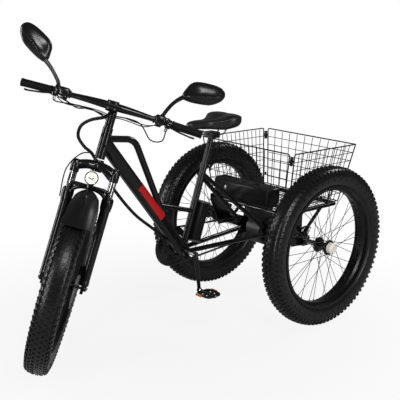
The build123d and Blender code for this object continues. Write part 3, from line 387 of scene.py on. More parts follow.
class Finish(Nodes):
    """A material: shader nodes on one Principled surface."""

    def __init__(self, name, **fixed):
        self.material = bpy.data.materials.new(name)
        self.material.use_nodes = True
        super().__init__(self.material.node_tree)
        self.surface = self.tree.nodes["Principled BSDF"]
        self.set(**fixed)
        self.place = self.node("ShaderNodeTexCoord", {}, {}, "Object")

    def set(self, **sockets):
        """Set or link sockets of the surface; an underscore stands for a space."""
        for key, value in sockets.items():
            self.fill(self.surface.inputs[key.replace("_", " ")], opaque(value))

    def noise(self, scale, detail=4.0, rough=0.6):
        """Soft noise about 0.5, by Object coordinates in metres."""
        inputs = {"Vector": self.place, "Scale": scale, "Detail": detail, "Roughness": rough}
        return self.node("ShaderNodeTexNoise", {}, inputs, "Fac")

    def mark(self):
        """The number that each point of a shell carries."""
        return self.node("ShaderNodeAttribute", {"attribute_name": "mark"}, {}, "Fac")

    def mixed(self, amount, low, high):
        """A colour between two colours."""
        inputs = {0: amount, 6: opaque(low), 7: opaque(high)}
        return self.node("ShaderNodeMix", {"data_type": "RGBA", "clamp_factor": True}, inputs, 2)

    def bumped(self, height, distance, strength=1.0):
        """Let a height in the material shape the surface."""
        inputs = {"Height": height, "Distance": distance, "Strength": strength}
        self.set(Normal=self.node("ShaderNodeBump", {}, inputs, "Normal"))

    def part(self, way):
        """The place along a direction, in metres."""
        settings = {"operation": "DOT_PRODUCT"}
        return self.node("ShaderNodeVectorMath", settings, {0: self.place, 1: tuple(way)}, "Value")


def worn(name, colour, spread, rough, rough_spread=0.1, metal=0.0, grain=900.0, height=0.0, scale=14.0, shine=0.16):
    """A plain maker's finish: its colour and gloss vary softly in patches, and a fine grain shapes it."""
    finish = Finish(name, Metallic=metal, Specular_IOR_Level=0.5 if metal else shine)
    patches = finish.noise(scale)
    fine = finish.noise(grain, 2.0)
    lighter = tuple(min(1.0, part) for part in scaled(colour, 1 + spread, 0.003 * spread))
    darker = scaled(colour, 1 - 0.5 * spread)
    finish.set(Base_Color=finish.mixed(patches * 1.6 - 0.3, darker, lighter),
               Roughness=rough + (patches - 0.5) * rough_spread + (fine - 0.5) * rough_spread)
    if height:
        finish.bumped(fine, height)
    return finish


def finishes(colours):
    """All the materials, by name."""
    made = {}
    for name, colour, spread, rough, more in (  # the spread is of the colour, and more is what worn() takes besides
            ("paint", colours.paint, 0.5, 0.17, dict(scale=6.0, rough_spread=0.04, shine=0.35)),
            ("gloss", colours.gloss, 0.3, 0.14, dict(rough_spread=0.02, shine=0.4)),
            ("satin", colours.gloss, 0.3, 0.2, dict(rough_spread=0.02, shine=0.4)),
            ("plastic", colours.plastic, 0.4, 0.33, dict(grain=1600.0, height=0.00002, shine=0.17)),
            ("rubber", colours.rubber, 0.5, 0.5, dict(grain=1500.0, height=0.00005, shine=0.1)),
            ("rim", colours.rim, 0.4, 0.22, dict(rough_spread=0.04, shine=0.25)),
            ("steel", (0.42, 0.42, 0.43), 0.2, 0.28, dict(metal=1.0)),
            ("spoke", (0.10, 0.10, 0.105), 0.3, 0.4, dict(metal=1.0)),
            ("chrome", (0.72, 0.72, 0.74), 0.1, 0.1, dict(metal=1.0, rough_spread=0.04)),
            ("bronze", colours.bronze, 0.4, 0.36, dict(metal=0.85)),
            ("chain", (0.07, 0.06, 0.055), 0.4, 0.38, dict(metal=0.9)),
            ("stanchion", (0.30, 0.30, 0.31), 0.1, 0.14, dict(metal=1.0, rough_spread=0.03)),
            ("motor", (0.016, 0.016, 0.018), 0.4, 0.4, dict(metal=0.3)),
            ("cream", colours.cap, 0.05, 0.36, dict(shine=0.4)),
            ("red", colours.panel, 0.1, 0.24, dict(shine=0.3)),
            ("amber", (0.55, 0.12, 0.01), 0.2, 0.14, dict(shine=0.5, grain=1100.0, height=0.0003)),
            ("grey", (0.10, 0.10, 0.105), 0.2, 0.4, dict()),
            ("wire", colours.wire, 0.3, 0.42, dict(shine=0.14)),
            ("mirror", (0.85, 0.87, 0.9), 0.02, 0.04, dict(metal=1.0, rough_spread=0.02))):
        made[name] = worn(name, tuple(colour), spread, rough, **more).material
    made["tyre"] = tyre_rubber(tuple(colours.tyre))
    made["vinyl"] = saddle_cover(tuple(colours.saddle))
    made["hub"] = capped_hub(tuple(colours.cap))
    made["case"] = case_with_painted_highlight(tuple(colours.plastic))
    made["ribbed"] = wrapped_cable()
    glass = Finish("lens", Base_Color=(0.95, 0.97, 1.0), Roughness=0.03, IOR=1.12, Transmission_Weight=0.9,
                   Coat_Weight=1.0)
    flutes = glass.node("ShaderNodeTexWave", {}, {"Vector": glass.place, "Scale": 120.0}, "Fac")
    glass.bumped(flutes, 0.0002, 0.3)
    made["lens"] = glass.material
    glow = Finish("lit", Base_Color=(0.9, 0.86, 0.6), Roughness=0.3, Emission_Strength=0.6)
    glow.set(Emission_Color=glow.mixed(glow.noise(90.0), (1.0, 0.96, 0.86), (0.9, 0.95, 1.0)))
    made["lit"] = glow.material
    return made


def tyre_rubber(colour):
    """Rubber whose smooth sidewall band, by the mark that holds the radius, is greyer and glossier than its lugs."""
    finish = Finish("tyre", Specular_IOR_Level=0.35)
    radius = finish.mark()
    band = (radius > 300.0) * (radius < 345.0)
    dust = finish.noise(9.0)
    fine = finish.noise(1400.0, 2.0)
    dark = finish.mixed(dust, scaled(colour, 0.7), scaled(colour, 1.5, 0.001))
    finish.set(Base_Color=finish.mixed(band, dark, (0.006, 0.006, 0.0065)),
               Roughness=0.28 - band * 0.02 + (fine - 0.5) * 0.2)
    finish.bumped(fine, 0.0001)
    return finish.material


def saddle_cover(colour):
    """Grained vinyl: small cells pressed in, with softer creases."""
    finish = Finish("vinyl", Specular_IOR_Level=0.5)
    cells = finish.node("ShaderNodeTexVoronoi", {}, {"Vector": finish.place, "Scale": 520.0}, "Distance")
    creases = finish.noise(60.0)
    finish.set(Base_Color=finish.mixed(creases, colour, scaled(colour, 1.6, 0.001)), Roughness=0.22 + cells * 0.15)
    finish.bumped(cells + creases, 0.0003, 0.4)
    return finish.material


CAP_FROM = 0.4157  # metres to the left of the middle


def capped_hub(colour):
    """Black hub body with a cream cap outboard of the left wheel."""
    finish = Finish("hub", Specular_IOR_Level=0.3)
    cap = finish.part(LEFT) > CAP_FROM
    patches = finish.noise(40.0)
    body = finish.mixed(patches, (0.008, 0.008, 0.009), (0.02, 0.02, 0.021))
    finish.set(Base_Color=finish.mixed(cap, body, colour), Metallic=0.6 - cap * 0.6,
               Roughness=0.3 + (patches - 0.5) * 0.15)
    return finish.material


# where the painted highlight over the battery's top begins
HIGHLIGHT_FROM = 0.632  # metres above the ground


def case_with_painted_highlight(colour):
    """The battery's moulded black case; its top is painted a lighter grey, as a highlight where the light falls."""
    finish = Finish("case", Specular_IOR_Level=0.12)
    # painted highlight: above this height the case is coloured lighter grey, standing in for the light on its top
    painted_top_highlight = finish.part((0, 0, 1)) > HIGHLIGHT_FROM
    fine = finish.noise(2200.0, 2.0)
    patches = finish.noise(12.0)
    body = finish.mixed(patches, colour, scaled(colour, 1.5))
    finish.set(Base_Color=finish.mixed(painted_top_highlight, body, (0.018, 0.018, 0.02)), Roughness=0.28 + (fine - 0.5) * 0.2)
    finish.bumped(fine, 0.00003)
    return finish.material


WRAP_PITCH = 9.0  # millimetres between the turns of the spiral wrap


def wrapped_cable():
    """Spiral wrap: the mark runs along the cable, and its waves are the wrap's turns; the grooves between the turns
    are painted darker than the ridges, as shade.
    """
    finish = Finish("ribbed", Specular_IOR_Level=0.15)
    turns = finish.node("ShaderNodeMath", {"operation": "SINE"}, {0: finish.mark() * (TURN / WRAP_PITCH)})
    fine = finish.noise(900.0)
    # painted shade: the colour follows the turns, dark in the grooves and lighter on the ridges
    finish.set(Base_Color=finish.mixed(turns * 0.5 + 0.5, (0.003, 0.003, 0.0035), (0.012, 0.012, 0.013)),
               Roughness=0.38 + (fine - 0.5) * 0.15)
    finish.bumped(turns, 0.0009)
    return finish.material


# ---------------------------------------------------------------- pieces
def carcass():
    """Half outline of the tyre as (sideways, radius), from the bead to the middle of the tread."""
    return through([(36.7, 288), (43.6, 300), (47.2, 322), (45.6, 341), (39.0, 355.5), (29.0, 363.4), (14.5, 367),
                    (0, 368)], 30)


def lug(side, along, high, x, radius, lean, skew=0.0):
    """A block of tread about angle zero: a base sunk in the tyre and a top that is a sixth smaller, standing along
    the tyre's own slope."""
    out = np.array([math.sin(lean), 0, math.cos(lean)])
    way = np.array([math.cos(lean), 0, -math.sin(lean)])
    u = np.array([-1, 1, 1, -1, -1, 1, 1, -1]) * np.repeat([side, side * 0.84], 4) / 2
    v = np.array([-1, -1, 1, 1, -1, -1, 1, 1]) * np.repeat([along, along * 0.84], 4) / 2
    h = np.repeat([-2.5, high], 4)
    along_tyre = (v + skew * u)[:, None] * np.array([0, 1, 0])
    return np.array([x, 0, radius]) + u[:, None] * way + along_tyre + h[:, None] * out


LUG_FACES = np.array([[0, 3, 2, 1], [4, 5, 6, 7], [0, 1, 5, 4], [1, 2, 6, 5], [2, 3, 7, 6], [3, 0, 4, 7]])
SIDE_MARKS = 48  # small bars on each sidewall


def make_tyres(sizes):
    """Tyres: the outline turned about the axle, with rows of lugs repeated round it."""
    half = carcass()
    outline = np.vstack([half, (half * [-1, 1])[::-1][1:]])
    inner = outline * [0.86, 1.0] - [0, 5.5]
    inner[0, 1] = inner[-1, 1] = 281.0
    loop = np.vstack([outline, inner[::-1]])
    sideways, radii = loop[:, 0][:, None], loop[:, 1][:, None]
    pitch, tall = sizes.lugs, sizes.lug_height * MM
    rows = (  # width, length, height, sideways, radius, slope, turn within the pitch, skew
        (12, 12, tall, 9.0, 367.3, 0.03, 0.0, 0.25), (10, 10, tall, 24.5, 364.6, 0.20, 0.5, -0.3),
        (12, 13, tall + 1.0, 37.5, 357.2, 0.72, 0.05, 0.1), (15, 8, 2.8, 44.9, 343.5, 1.30, 0.05, 0.0),
        (6, 11, 1.6, 45.9, 331.0, 1.42, 0.55, 0.0))
    marks = lug(13, 10, 1.5, 47.2, 319.0, math.pi / 2 + 0.05)
    for name, (body, place) in WHEELS.items():
        shell = Shell()
        a = around(144)
        rings = np.stack([sideways + 0 * a, -radii * np.sin(a), radii * np.cos(a)], 2)
        shell.add(rings, grid_faces(len(loop), len(a), wrap_rows=True), 0, np.repeat(radii, len(a)))
        for side in (-1, 1):
            for wide, long, high, x, radius, lean, shift, skew in rows:
                points = lug(wide, long, high, x, radius, lean, skew)
                angles = TURN / pitch * (np.arange(pitch) + shift + (0.5 if side > 0 else 0.0))
                shell.add(spun(points * [side, 1, 1], angles), repeated(LUG_FACES, 8, pitch), 0, 360.0)
            bars = spun(marks * [side, 1, 1], np.arange(SIDE_MARKS) * TURN / SIDE_MARKS)
            shell.add(bars, repeated(LUG_FACES, 8, SIDE_MARKS), 0, 350.0)
        shell.build(f"{name}_tyre_lugged", ["tyre"], body, [f"{name}_tyre"], place, 25.0)


def make_rim_fittings():
    """Spoke nipples in the rim's bed, the spokes' heads at the flanges, and a valve."""
    i = np.arange(SPOKES)
    turn = np.where(i % 2, 1, -1)
    for name, (body, place) in WHEELS.items():
        shell = Shell()
        for side in (-1, 1):
            at = TURN * (i + (side > 0) / 2) / SPOKES
            lean = at + SPOKE_LEAN * turn
            at_hub = SPOKE_HOLE_R * np.cos(lean), SPOKE_HOLE_R * np.sin(lean)
            foot = np.stack([np.full(SPOKES, side * SPOKE_SPREAD), RIM_FOOT * np.cos(at), RIM_FOOT * np.sin(at)], 1)
            hole = np.stack([side * (FLANGE_X + 4.2 * turn), *at_hub], 1)
            way = unit(hole - foot)
            shell.rods(foot - way * 0.5, foot + way * 9, 2.3, 6)
            heads = np.stack([side * (FLANGE_X + 3.4 * turn), *at_hub], 1)
            shell.rods(heads - [1.6, 0, 0], heads + [1.6, 0, 0], 2.9, 8)
        valve = np.array([0, RIM_FOOT * math.sin(0.087), RIM_FOOT * math.cos(0.087)])
        shell.turned([(-1, 0), (-1, 4), (4, 4), (6, 3), (26, 3), (27, 4.2), (36, 4.2), (37, 0)], valve, -valve, 12)
        shell.build(f"{name}_spoke_nipples", ["spoke"], body, (), place)


def make_saddle():
    """The saddle's cover: rings across its length, each half as wide as the nose-to-tail table says, crowned above
    and flatter below, with a shallow channel along its middle."""
    t = np.linspace(0, 1, 44)[:, None]
    shares = np.array([  # along, half width, height
        (0, 0.10, 0.52), (0.06, 0.17, 0.62), (0.2, 0.23, 0.67), (0.42, 0.34, 0.68), (0.6, 0.62, 0.72),
        (0.75, 0.90, 0.80), (0.9, 1.0, 0.92), (0.97, 0.93, 0.95), (1.0, 0.62, 0.86)])
    smooth = through(shares, 200)
    wide = SEAT_HALF * np.interp(t, smooth[:, 0], smooth[:, 1])
    top = SEAT_LOW + SEAT_RISE * np.interp(t, smooth[:, 0], smooth[:, 2])
    a = around(48)[None, :]
    c, s = np.cos(a), np.sin(a)
    deep = np.interp(t, [0, 0.1, 0.5, 0.72, 0.92, 1], [12, 22, 32, 44, 46, 26])
    x = wide * np.sign(c) * np.abs(c) ** 0.75
    crown = np.where(s > 0, 15 * np.abs(s) ** 0.7, -deep * np.abs(s) ** 0.55)
    channel = 9.0 * np.exp(-(x / 15.0) ** 2) * (s > 0) * np.sin(np.pi * np.clip((t - 0.25) / 0.75, 0, 1))
    tail = 9.0 * np.exp(-((t - 0.80) / 0.12) ** 2) * (s > 0) * np.clip(np.abs(x) / 60, 0, 1)
    rings = np.stack([x, SEAT_NOSE + SEAT_LONG * t + 0 * a, top - 12 + crown - channel + tail], 2)
    nose = [0.0, SEAT_NOSE - 1.5, SEAT_LOW + SEAT_RISE * shares[0, 2] - 20]
    back = [0.0, SEAT_NOSE + SEAT_LONG + 1.5, SEAT_LOW + SEAT_RISE * shares[-1, 2] - 22]
    ends = np.array([[nose], [back]]).repeat(48, 1)
    rings = np.concatenate([ends[:1], rings, ends[1:]])
    shell = Shell()
    shell.add(rings, grid_faces(len(rings), 48))
    piece = shell.build("saddle_cover", ["vinyl"], "frame", ["saddle"], sharp=60.0)
    smooth_more = piece.modifiers.new("softer", "SUBSURF")
    smooth_more.levels = smooth_more.render_levels = 1
    seam = Shell()
    edge = rings[3:-2, [2, 22]]
    for k in (0, 1):
        seam.tube(edge[:, k], 1.3, 8)
    seam.build("saddle_seam", ["plastic"], "frame")


def bar_at(out, side):
    """The bar's middle at a distance out, past its flat part."""
    share = (out - BAR_FLAT) / (BAR_HALF - BAR_FLAT)
    return np.array([side * out, BAR_SWEEP * share - STEM_REACH, STEM_AT - BAR_DROP * share])


def make_grips():
    """Ribbed grips: a turned profile whose radius swells between its rings, with a flange at the inner end."""
    shell = Shell()
    for side in (-1, 1):
        inner, outer = bar_at(GRIP_FROM, side), bar_at(GRIP_TO, side)
        long = np.linalg.norm(outer - inner)
        along = np.linspace(0.5, long - 1, 150)
        ribs = 0.7 * np.abs(np.sin(along * math.pi / 6.2)) ** 0.6
        ends = 2.2 * np.exp(-((along - 4) / 3) ** 2) + 1.0 * np.exp(-((along - long + 4) / 3) ** 2)
        sleeve = np.column_stack([along, 15.3 + ribs + ends])
        profile = np.vstack([[0.5, 0], [0.5, 11.3], sleeve, [long, 11], [long + 1, 0]])
        shell.turned(profile, inner, outer - inner, 28)
    shell.build("grip_sleeves", ["rubber"], "steering", ["grips"], STEER)


def make_levers():
    """Brake perches and curved lever blades, a flattened section carried along a curve that bends back at its tip."""
    shell = Shell()
    for side in (-1, 1):
        inner, outer = bar_at(LEVER_FROM, side), bar_at(LEVER_TO, side)
        way = outer - inner
        shell.turned([(0, 0), (0, 15), (2, 17), (23, 17), (25, 15), (25, 0)], inner, way, 28)
        middle = (inner + outer) / 2
        pivot = middle + [0, -25.0, -12]
        shell.block((middle + pivot) / 2 + [0, -4, -6], (11, 19, 9), 4)
        shell.rods(pivot - [0, 0, 9], pivot + [0, 0, 9], 5.5, 16, 1)
        path = through([pivot + [side * x, y, z] for x, y, z in (
            (0, 0, 0), (18, -9, -4), (45, -18, -11), (78, -21, -16), (98, -16, -18), (112, -19, -18))], 40)
        wide = np.interp(np.linspace(0, 1, 40), [0, 0.15, 0.7, 0.93, 1.0], [7, 6, 5.5, 6.5, 5.0])
        shell.tube(path, wide, 14, flat=0.62)
        shell.turned([(0, 0), (0, 4), (3, 4.4), (16, 4.0), (18, 3), (18, 0)], middle + [-side * 2, -18, -18],
                     (-side * .35, -.2, -1), 14, 1)
    shell.build("brake_lever_blades", ["gloss", "steel"], "steering", ["brake_levers"], STEER)


def make_pods():
    """Control housings round the bar, each with three buttons towards the rider."""
    shell = Shell()
    for side in (-1, 1):
        middle = bar_at(POD_AT, side) + [0, 0, 4.5]
        shell.block(middle, (22, 23.5, 18), 9, steps=4)
        shell.block(middle + [-side * 4, -6, -20], (13, 14, 9), 6)
        shell.block(middle + [side * 24, 0, 0], (14, 19, 15), 7)
        shell.block(middle + [side * 2, 14, 9], (13, 8, 9), 4)
        for k, finish in ((-9, 1), (0, 2), (9, 1)):
            shell.block(middle + [k, 23.0, 3], (3.2, 3.0, 5.0), 1.5, finish=finish)
        shell.turned([(-3, 0), (-3, 15), (3, 15), (3, 0)], bar_at(COLLAR_AT, side), (side, 0, 0), 24)
    shell.build("control_housings", ["satin", "grey", "red"], "steering", ["control_pods"], STEER)


def make_mirrors():
    """Mirrors: the shell is a drop-shaped outline, broad outboard and narrow at its neck, that shrinks as it rises
    to a dome with a long crease; its open side holds a glass."""
    shell = Shell()
    a = around(96)
    near = (1 - np.cos(a)) / 2
    heights = []
    for outline in (  # share of the way from the outer end to the neck, height above or below the middle
            [(0, 0), (0.02, 13), (0.08, 24), (0.22, 37), (0.48, 51), (0.66, 55), (0.79, 47), (0.89, 30), (0.96, 16),
             (1, 0)],
            [(0, 0), (0.02, 14), (0.12, 29), (0.32, 39), (0.5, 37), (0.78, 25), (0.96, 11), (1, 0)]):
        smooth = through(outline, 120)
        heights.append(np.interp(near, smooth[:, 0], smooth[:, 1]))
    across, high = 86.0 * np.cos(a), np.where(np.sin(a) > 0, heights[0], -heights[1])
    rho = np.linspace(0, 1, 30) * math.pi / 2
    scale = np.concatenate([np.sin(rho) ** 0.9, [1.0, 0.965, 0.95, 0.0]])[:, None]
    back = np.concatenate([-22 * np.cos(rho) ** 0.8, [7.0, 7.0, 3.0, 3.0]])[:, None]
    crease = 10.0 * np.exp(-np.abs(scale * (high + 0.1 * across) + 8) / 12.0) * np.clip(1 - scale ** 3, 0, 1)
    layers = ((scale, back - crease * (back < 0), 0),
              (np.array([[0.0], [0.94], [0.94], [0.0]]), np.array([[3.2], [3.2], [4.4], [4.4]]), 1))
    for side, centre, tilt, out in MIRRORS:
        base = bar_at(out, side)
        middle = np.array([centre[0], base[1] + 2, centre[1]])
        lean = math.radians(tilt)
        way = np.array([side * math.cos(lean), 0, math.sin(lean)])
        rise = np.array([-side * math.sin(lean), 0, math.cos(lean)])
        for share, depth, finish in layers:
            rings = middle + (share * across)[..., None] * way + (share * high)[..., None] * rise
            rings[..., 1] += depth
            shell.add(rings, grid_faces(len(rings), len(a)), finish)
        neck = middle - way * 74 + [0, -4, 0]
        bend = (base + [side * 8, -1, 62]) * 0.5 + (neck - way * 18 - rise * 8) * 0.5
        path = through([base, base + [side * 4, 0, 34], bend, neck, middle - way * 50 + [0, -5, 0]], 40)
        thick = np.interp(np.linspace(0, 1, 40), [0, 0.5, 0.8, 1.0], [8.0, 7.5, 10.0, 15.0])
        shell.tube(path, thick, 16, across=(0, 1, 0), flat=0.8)
        shell.turned([(-9, 0), (-9, 15.5), (-7, 17), (7, 17), (9, 15.5), (9, 0)], base, (side, 0, 0), 28)
        shell.turned([(-8, 0), (-8, 11), (6, 11), (14, 8), (16, 5), (16, 0)], base + [0, 0, 14], (0, 0, 1), 20)
    shell.build("mirror_pair", ["satin", "mirror"], "steering", ["mirrors"], STEER)


def make_headlamp():
    """Round lamp: a turned housing with cooling rings, a bright reflector bowl with six spots and a lens, on a
    bracket from the arch."""
    shell = Shell()
    back, way = np.array([0, -84.0, 434.0]), np.array([0, -1.0, 0])
    shell.turned([(-2, 0), (-2, 12), (4, 20), (7, 20), (7, 24), (10, 24), (10, 22), (13, 22), (13, 25), (16, 25),
                  (16, 23), (19, 23), (20, 27), (37, 27), (38, 26), (38, 23.5), (30, 23)], back, way, 48)
    shell.turned([(30, 23.2), (24, 18), (20, 8), (19, 0)], back, way, 48, 3)
    shell.turned([(31.5, 0), (31.5, 23.4), (34, 23.4), (35.5, 16), (36.5, 0)], back, way, 48, 2)
    a = np.arange(6) * TURN / 6
    spots = back + way * 24 + np.stack([12 * np.cos(a), 0 * a, 12 * np.sin(a)], 1)
    shell.rods(spots, spots + way * 3, 3.4, 12, 1)
    shell.rods(back + way * 22, back + way * 27, 4.0, 16, 1)
    shell.block((0, -76.5, 416), (13, 2.6, 27), 2)
    shell.block((0, -92, 432), (10, 17, 4), 2)
    shell.build("headlamp_unit", ["gloss", "cream", "lens", "lit"], "steering", ["headlamp"], STEER)


GUARD_TOP, GUARD_UNDER = 386.6, 383.6  # radii of its two faces from the hub


def make_guard():
    """Short front guard: an arc about the hub that widens forward and sits a little to the left, as mounted; across
    it the surface drops towards its edges by a power of the distance, and its front edge is bowed."""
    w = np.linspace(-1, 1, 25)[None, :]
    degrees = -6 + (56 - 3 * w ** 2) * np.linspace(0, 1, 48)[:, None]
    a = np.radians(degrees)
    half = np.interp(degrees, [-6, 4, 14, 30, 50], [30, 40, 47, 54, 57])
    x = half * w + np.interp(degrees, [0, 20, 50], [0, 6, 9])
    drop = 20.0 * np.abs(w) ** 2.2 - 2.5 * np.exp(-(w / 0.16) ** 2)
    rings = sheet(*(np.stack([x, -AXLE_AHEAD - r * np.sin(a), r * np.cos(a)], 2)
                    for r in (GUARD_TOP - drop, GUARD_UNDER - drop)))
    shell = Shell()
    shell.add(rings, grid_faces(*rings.shape[:2]))
    shell.block((0, -62, 387.5), (13, 11, 5.0), 2.5)
    for x in (-7.5, 7.5):
        shell.rods([x, -66, 385], [x, -68, 394], 3.4, 6, 1)
    shell.build("front_guard_shell", ["plastic", "steel"], "steering", ["front_guard"], STEER)


def make_crown():
    """Fork crown: an arched arm from sleeve to sleeve, carried along a curve, over bright stanchions; and flared
    collars on the lowers, with an arch between them."""
    shell = Shell()
    path = mirrored((0, -14, 487), [(38, -28, 483), (70, -39, 472), (82, -40, 462)], 60)
    shell.tube(path, 19.0, 20, across=(0, 1, 0), flat=0.78)
    shell.turned([(462, 0), (462, 22), (484, 24), (500, 24), (512, 20.8), (512, 0)], (0, 0, 0), (0, 0, 1), 36)
    collars = Shell()
    for side in (-1, 1):
        leg = (side * LEG_X, LEG_Y, 0), (0, 0, 1)
        shell.turned([(440, 0), (440, 17.5), (443, 18.8), (484, 18.8), (488, 16.5), (488, 0)], *leg, 32)
        shell.turned([(488, 0), (488, 11), (491, 11), (493, 9), (493, 0)], *leg, 20)
        shell.turned([(352, 0), (352, 14.9), (452, 14.9), (452, 0)], *leg, 32, 1)
        collars.turned([(318, 19.0), (318, 19.8), (330, 23.0), (352, 24.5), (368, 23.5), (373, 20.5), (376, 18),
                        (376, 15.6), (370, 15.6), (360, 19.0)], *leg, 32, closed=True)
        collars.turned([(10, 0), (10, 17), (14, 20.2), (30, 20.2), (34, 19), (34, 0)], *leg, 28)
    shell.build("fork_crown_arms", ["gloss", "stanchion"], "steering", ["fork_crown"], STEER)
    brace = mirrored((0, -62, 394), [(42, -60, 388), (67, -55, 370), (74, -50, 342)], 60)
    collars.tube(brace, 8.5, 16, across=(0, 1, 0), flat=0.75)
    collars.build("fork_collars", ["gloss"], "steering", (), STEER)


def make_bar():
    """Handlebar: a round tube along the bar's curve, thick where the stem holds it and tapering outward."""
    shell = Shell()
    path = mirrored((0, -STEM_REACH, STEM_AT), [(90, -110.5, 725.6), (190, -103, 723), (300, -94.7, 720.6),
                                                (366, -90, 719)], 120)
    radius = np.interp(np.abs(path[:, 0]), [0, 40, 150, 366], [15.9, 15.9, 11.0, 11.0])
    shell.tube(path, radius, 24)
    shell.build("handlebar_tapered", ["gloss"], "steering", ["handlebar"], STEER)


def wall_point(side, rear, up, out):
    """A corner of the basket's wall at a share of its height, moved outward."""
    x = side * (BASKET_HALF + FLARE_SIDE * up + out)
    y = BASKET_REAR + FLARE_REAR * up + out if rear else BASKET_FRONT - FLARE_FRONT * up - out
    return np.array([x, y, BASKET_FLOOR + BASKET_TALL * up])


def wall_line(side, rear, far):
    """A function of the places on one wall, from its corner on one side to a far corner."""
    def at(share, up, out):
        """The point at a share of the wall's length and of its height, moved outward."""
        a, b = wall_point(side, rear, up, out), wall_point(*far, up, out)
        return a + (b - a) * share * (1 - CORNER_GAP / np.linalg.norm(b - a))
    return at


def make_basket(sizes):
    """The basket's wires, all round: a crossing floor, and walls of upright wires inside and level wires outside,
    between thicker rim wires and corner posts."""
    wire, rim = sizes.wire * MM / 2, 3.0
    layer, skin, post = 3.9, 2.0, 3.6
    shell = Shell()
    xs = np.linspace(1.7 - BASKET_HALF, BASKET_HALF - 1.7, 12)
    low = np.full_like(xs, BASKET_FLOOR)
    shell.rods(np.stack([xs, low * 0 + BASKET_FRONT, low], 1), np.stack([xs, low * 0 + BASKET_REAR, low], 1), wire)
    ys = np.linspace(BASKET_FRONT + 1.7, BASKET_REAR - 1.7, 15)
    half, low = np.full_like(ys, BASKET_HALF), np.full_like(ys, BASKET_FLOOR + layer)
    shell.rods(np.stack([-half, ys, low], 1), np.stack([half, ys, low], 1), wire)
    for side, rear in ((1, True), (-1, False)):
        for far, cells in (((-side, rear), 11), ((side, not rear), 14)):
            at = wall_line(side, rear, far)
            for k in np.arange(1, cells) / cells:
                shell.rods(at(k, 0.022, skin - layer), at(k, 0.985, skin - layer), wire)
            for k in np.arange(7) / 7:
                shell.rods(at(0, k, skin), at(1, k, skin), wire)
            path = [at(share, up, post) for share, up in (
                (0, 1), (0.5, 1), (0.98, 1), (0.994, 0.992), (1, 1 - 9.0 / BASKET_TALL), (1, 0.5), (1, 0))]
            shell.tube(path, rim, 12, across=(1, 1, 0.3) if side * (1 if rear else -1) > 0 else (1, -1, 0.3))
        shell.rods(wall_point(side, rear, 0, post), wall_point(side, rear, 1, post), rim, 12)
    shell.build("basket_wires", ["wire"], "frame", ["basket_floor", "basket_panels"])
    clips = Shell()
    for side, rear in ((-1, True), (1, False)):
        inward = np.array([-side, -1 if rear else 1, 0]) * 8.0
        top, low = (wall_point(side, rear, 1 - down / BASKET_TALL, post) + inward for down in (14, 54))
        clips.turned([(0, 0), (0, 6.5), (2, 7.4), (38, 7.4), (40, 6.5), (40, 0)], top, low - top, 20)
        clips.block((top + low) / 2, (9, 9, 5), 3)
        foot = wall_point(side, rear, 0.16, post) + inward
        clips.turned([(0, 0), (0, 5), (14, 5), (14, 0)], foot, (0, 0, 1), 16)
    clips.build("basket_corner_clips", ["plastic"], "frame", ["basket_clips"])


def toothed(teeth, radius, high):
    """Outline radius for each angle: a rounded tooth on every pitch, between hollows for the chain's rollers."""
    return radius + high * np.clip(1.5 * np.cos(teeth * around(teeth * 8)), -1, 1)


def make_crank():
    """Chain ring with its guard and spider, and the cranks on their axle."""
    shell = Shell()
    ring = toothed(42, RING_R - 0.5, 3.0)
    shell.annulus(ring, np.full_like(ring, 64.0), CHAIN_X - 1.5, CHAIN_X + 1.5, CRANK_AXIS)
    shell.annulus(np.full(96, 94.0), np.full(96, 76.0), CHAIN_X - 7.4, CHAIN_X - 4.9, CRANK_AXIS, 1)
    a = around(5) + 0.4
    way = np.stack([0 * a, np.cos(a), np.sin(a)], 1)
    hub = CRANK_AXIS + [CHAIN_X - 3.2, 0, 0]
    shell.rods(hub + way * 14, hub + way * 77, 5.4, 10, 1)
    shell.rods(hub + way * 70 - [6, 0, 0], hub + way * 70 + [3.4, 0, 0], 4.6, 6, 2)
    shell.turned([(-4, 0), (-4, 26), (3, 26), (3, 0)], hub, (1, 0, 0), 32, 1)
    shell.build("chain_ring_set", ["motor", "plastic", "spoke"], "crank", ["chain_ring"])

    arms = Shell()
    arms.rods(CRANK_AXIS - [96, 0, 0], CRANK_AXIS + [96, 0, 0], 8.5, 24, 1)
    for side in (-1, 1):
        middle = CRANK_AXIS + [side * CRANK_OUT, 0, 0]
        end = middle + CRANK_WAY * side * CRANK_LENGTH
        path = middle + (end - middle) * np.linspace(0, 1, 24)[:, None]
        reach = np.vstack([path[:1] - (path[1] - path[0]) * 1.2, path, path[-1:] + (path[1] - path[0]) * 1.1])
        wide = np.interp(np.linspace(0, 1, 26), [0, 0.05, 0.12, 0.5, 0.9, 0.96, 1], [5, 11, 12.5, 10.5, 9.5, 9, 5])
        outward = (side, 0, 0)
        arms.tube(reach, wide, 20, across=(1, 0, 0), flat=0.58)
        arms.turned([(-6, 0), (-6, 13), (4, 13), (6.5, 11), (6.5, 0)], middle, outward, 28)
        arms.turned([(6, 0), (6, 8), (8.5, 8), (8.5, 0)], middle, outward, 8, 1)
        arms.turned([(-6.5, 0), (-6.5, 10), (-5, 11), (5, 11), (6.5, 10), (6.5, 0)], end, outward, 28)
        arms.rods(end - [side * 8, 0, 0], end + [side * 112, 0, 0], 5.9, 16, 1)
        arms.rods(end + [side * 7, 0, 0], end + [side * 13, 0, 0], 8.2, 6, 1)
    arms.rods(CRANK_AXIS - [86, 0, 0], CRANK_AXIS - [76, 0, 0], 20, 28)
    arms.build("crank_arms", ["gloss", "steel"], "crank", ["crankset"])


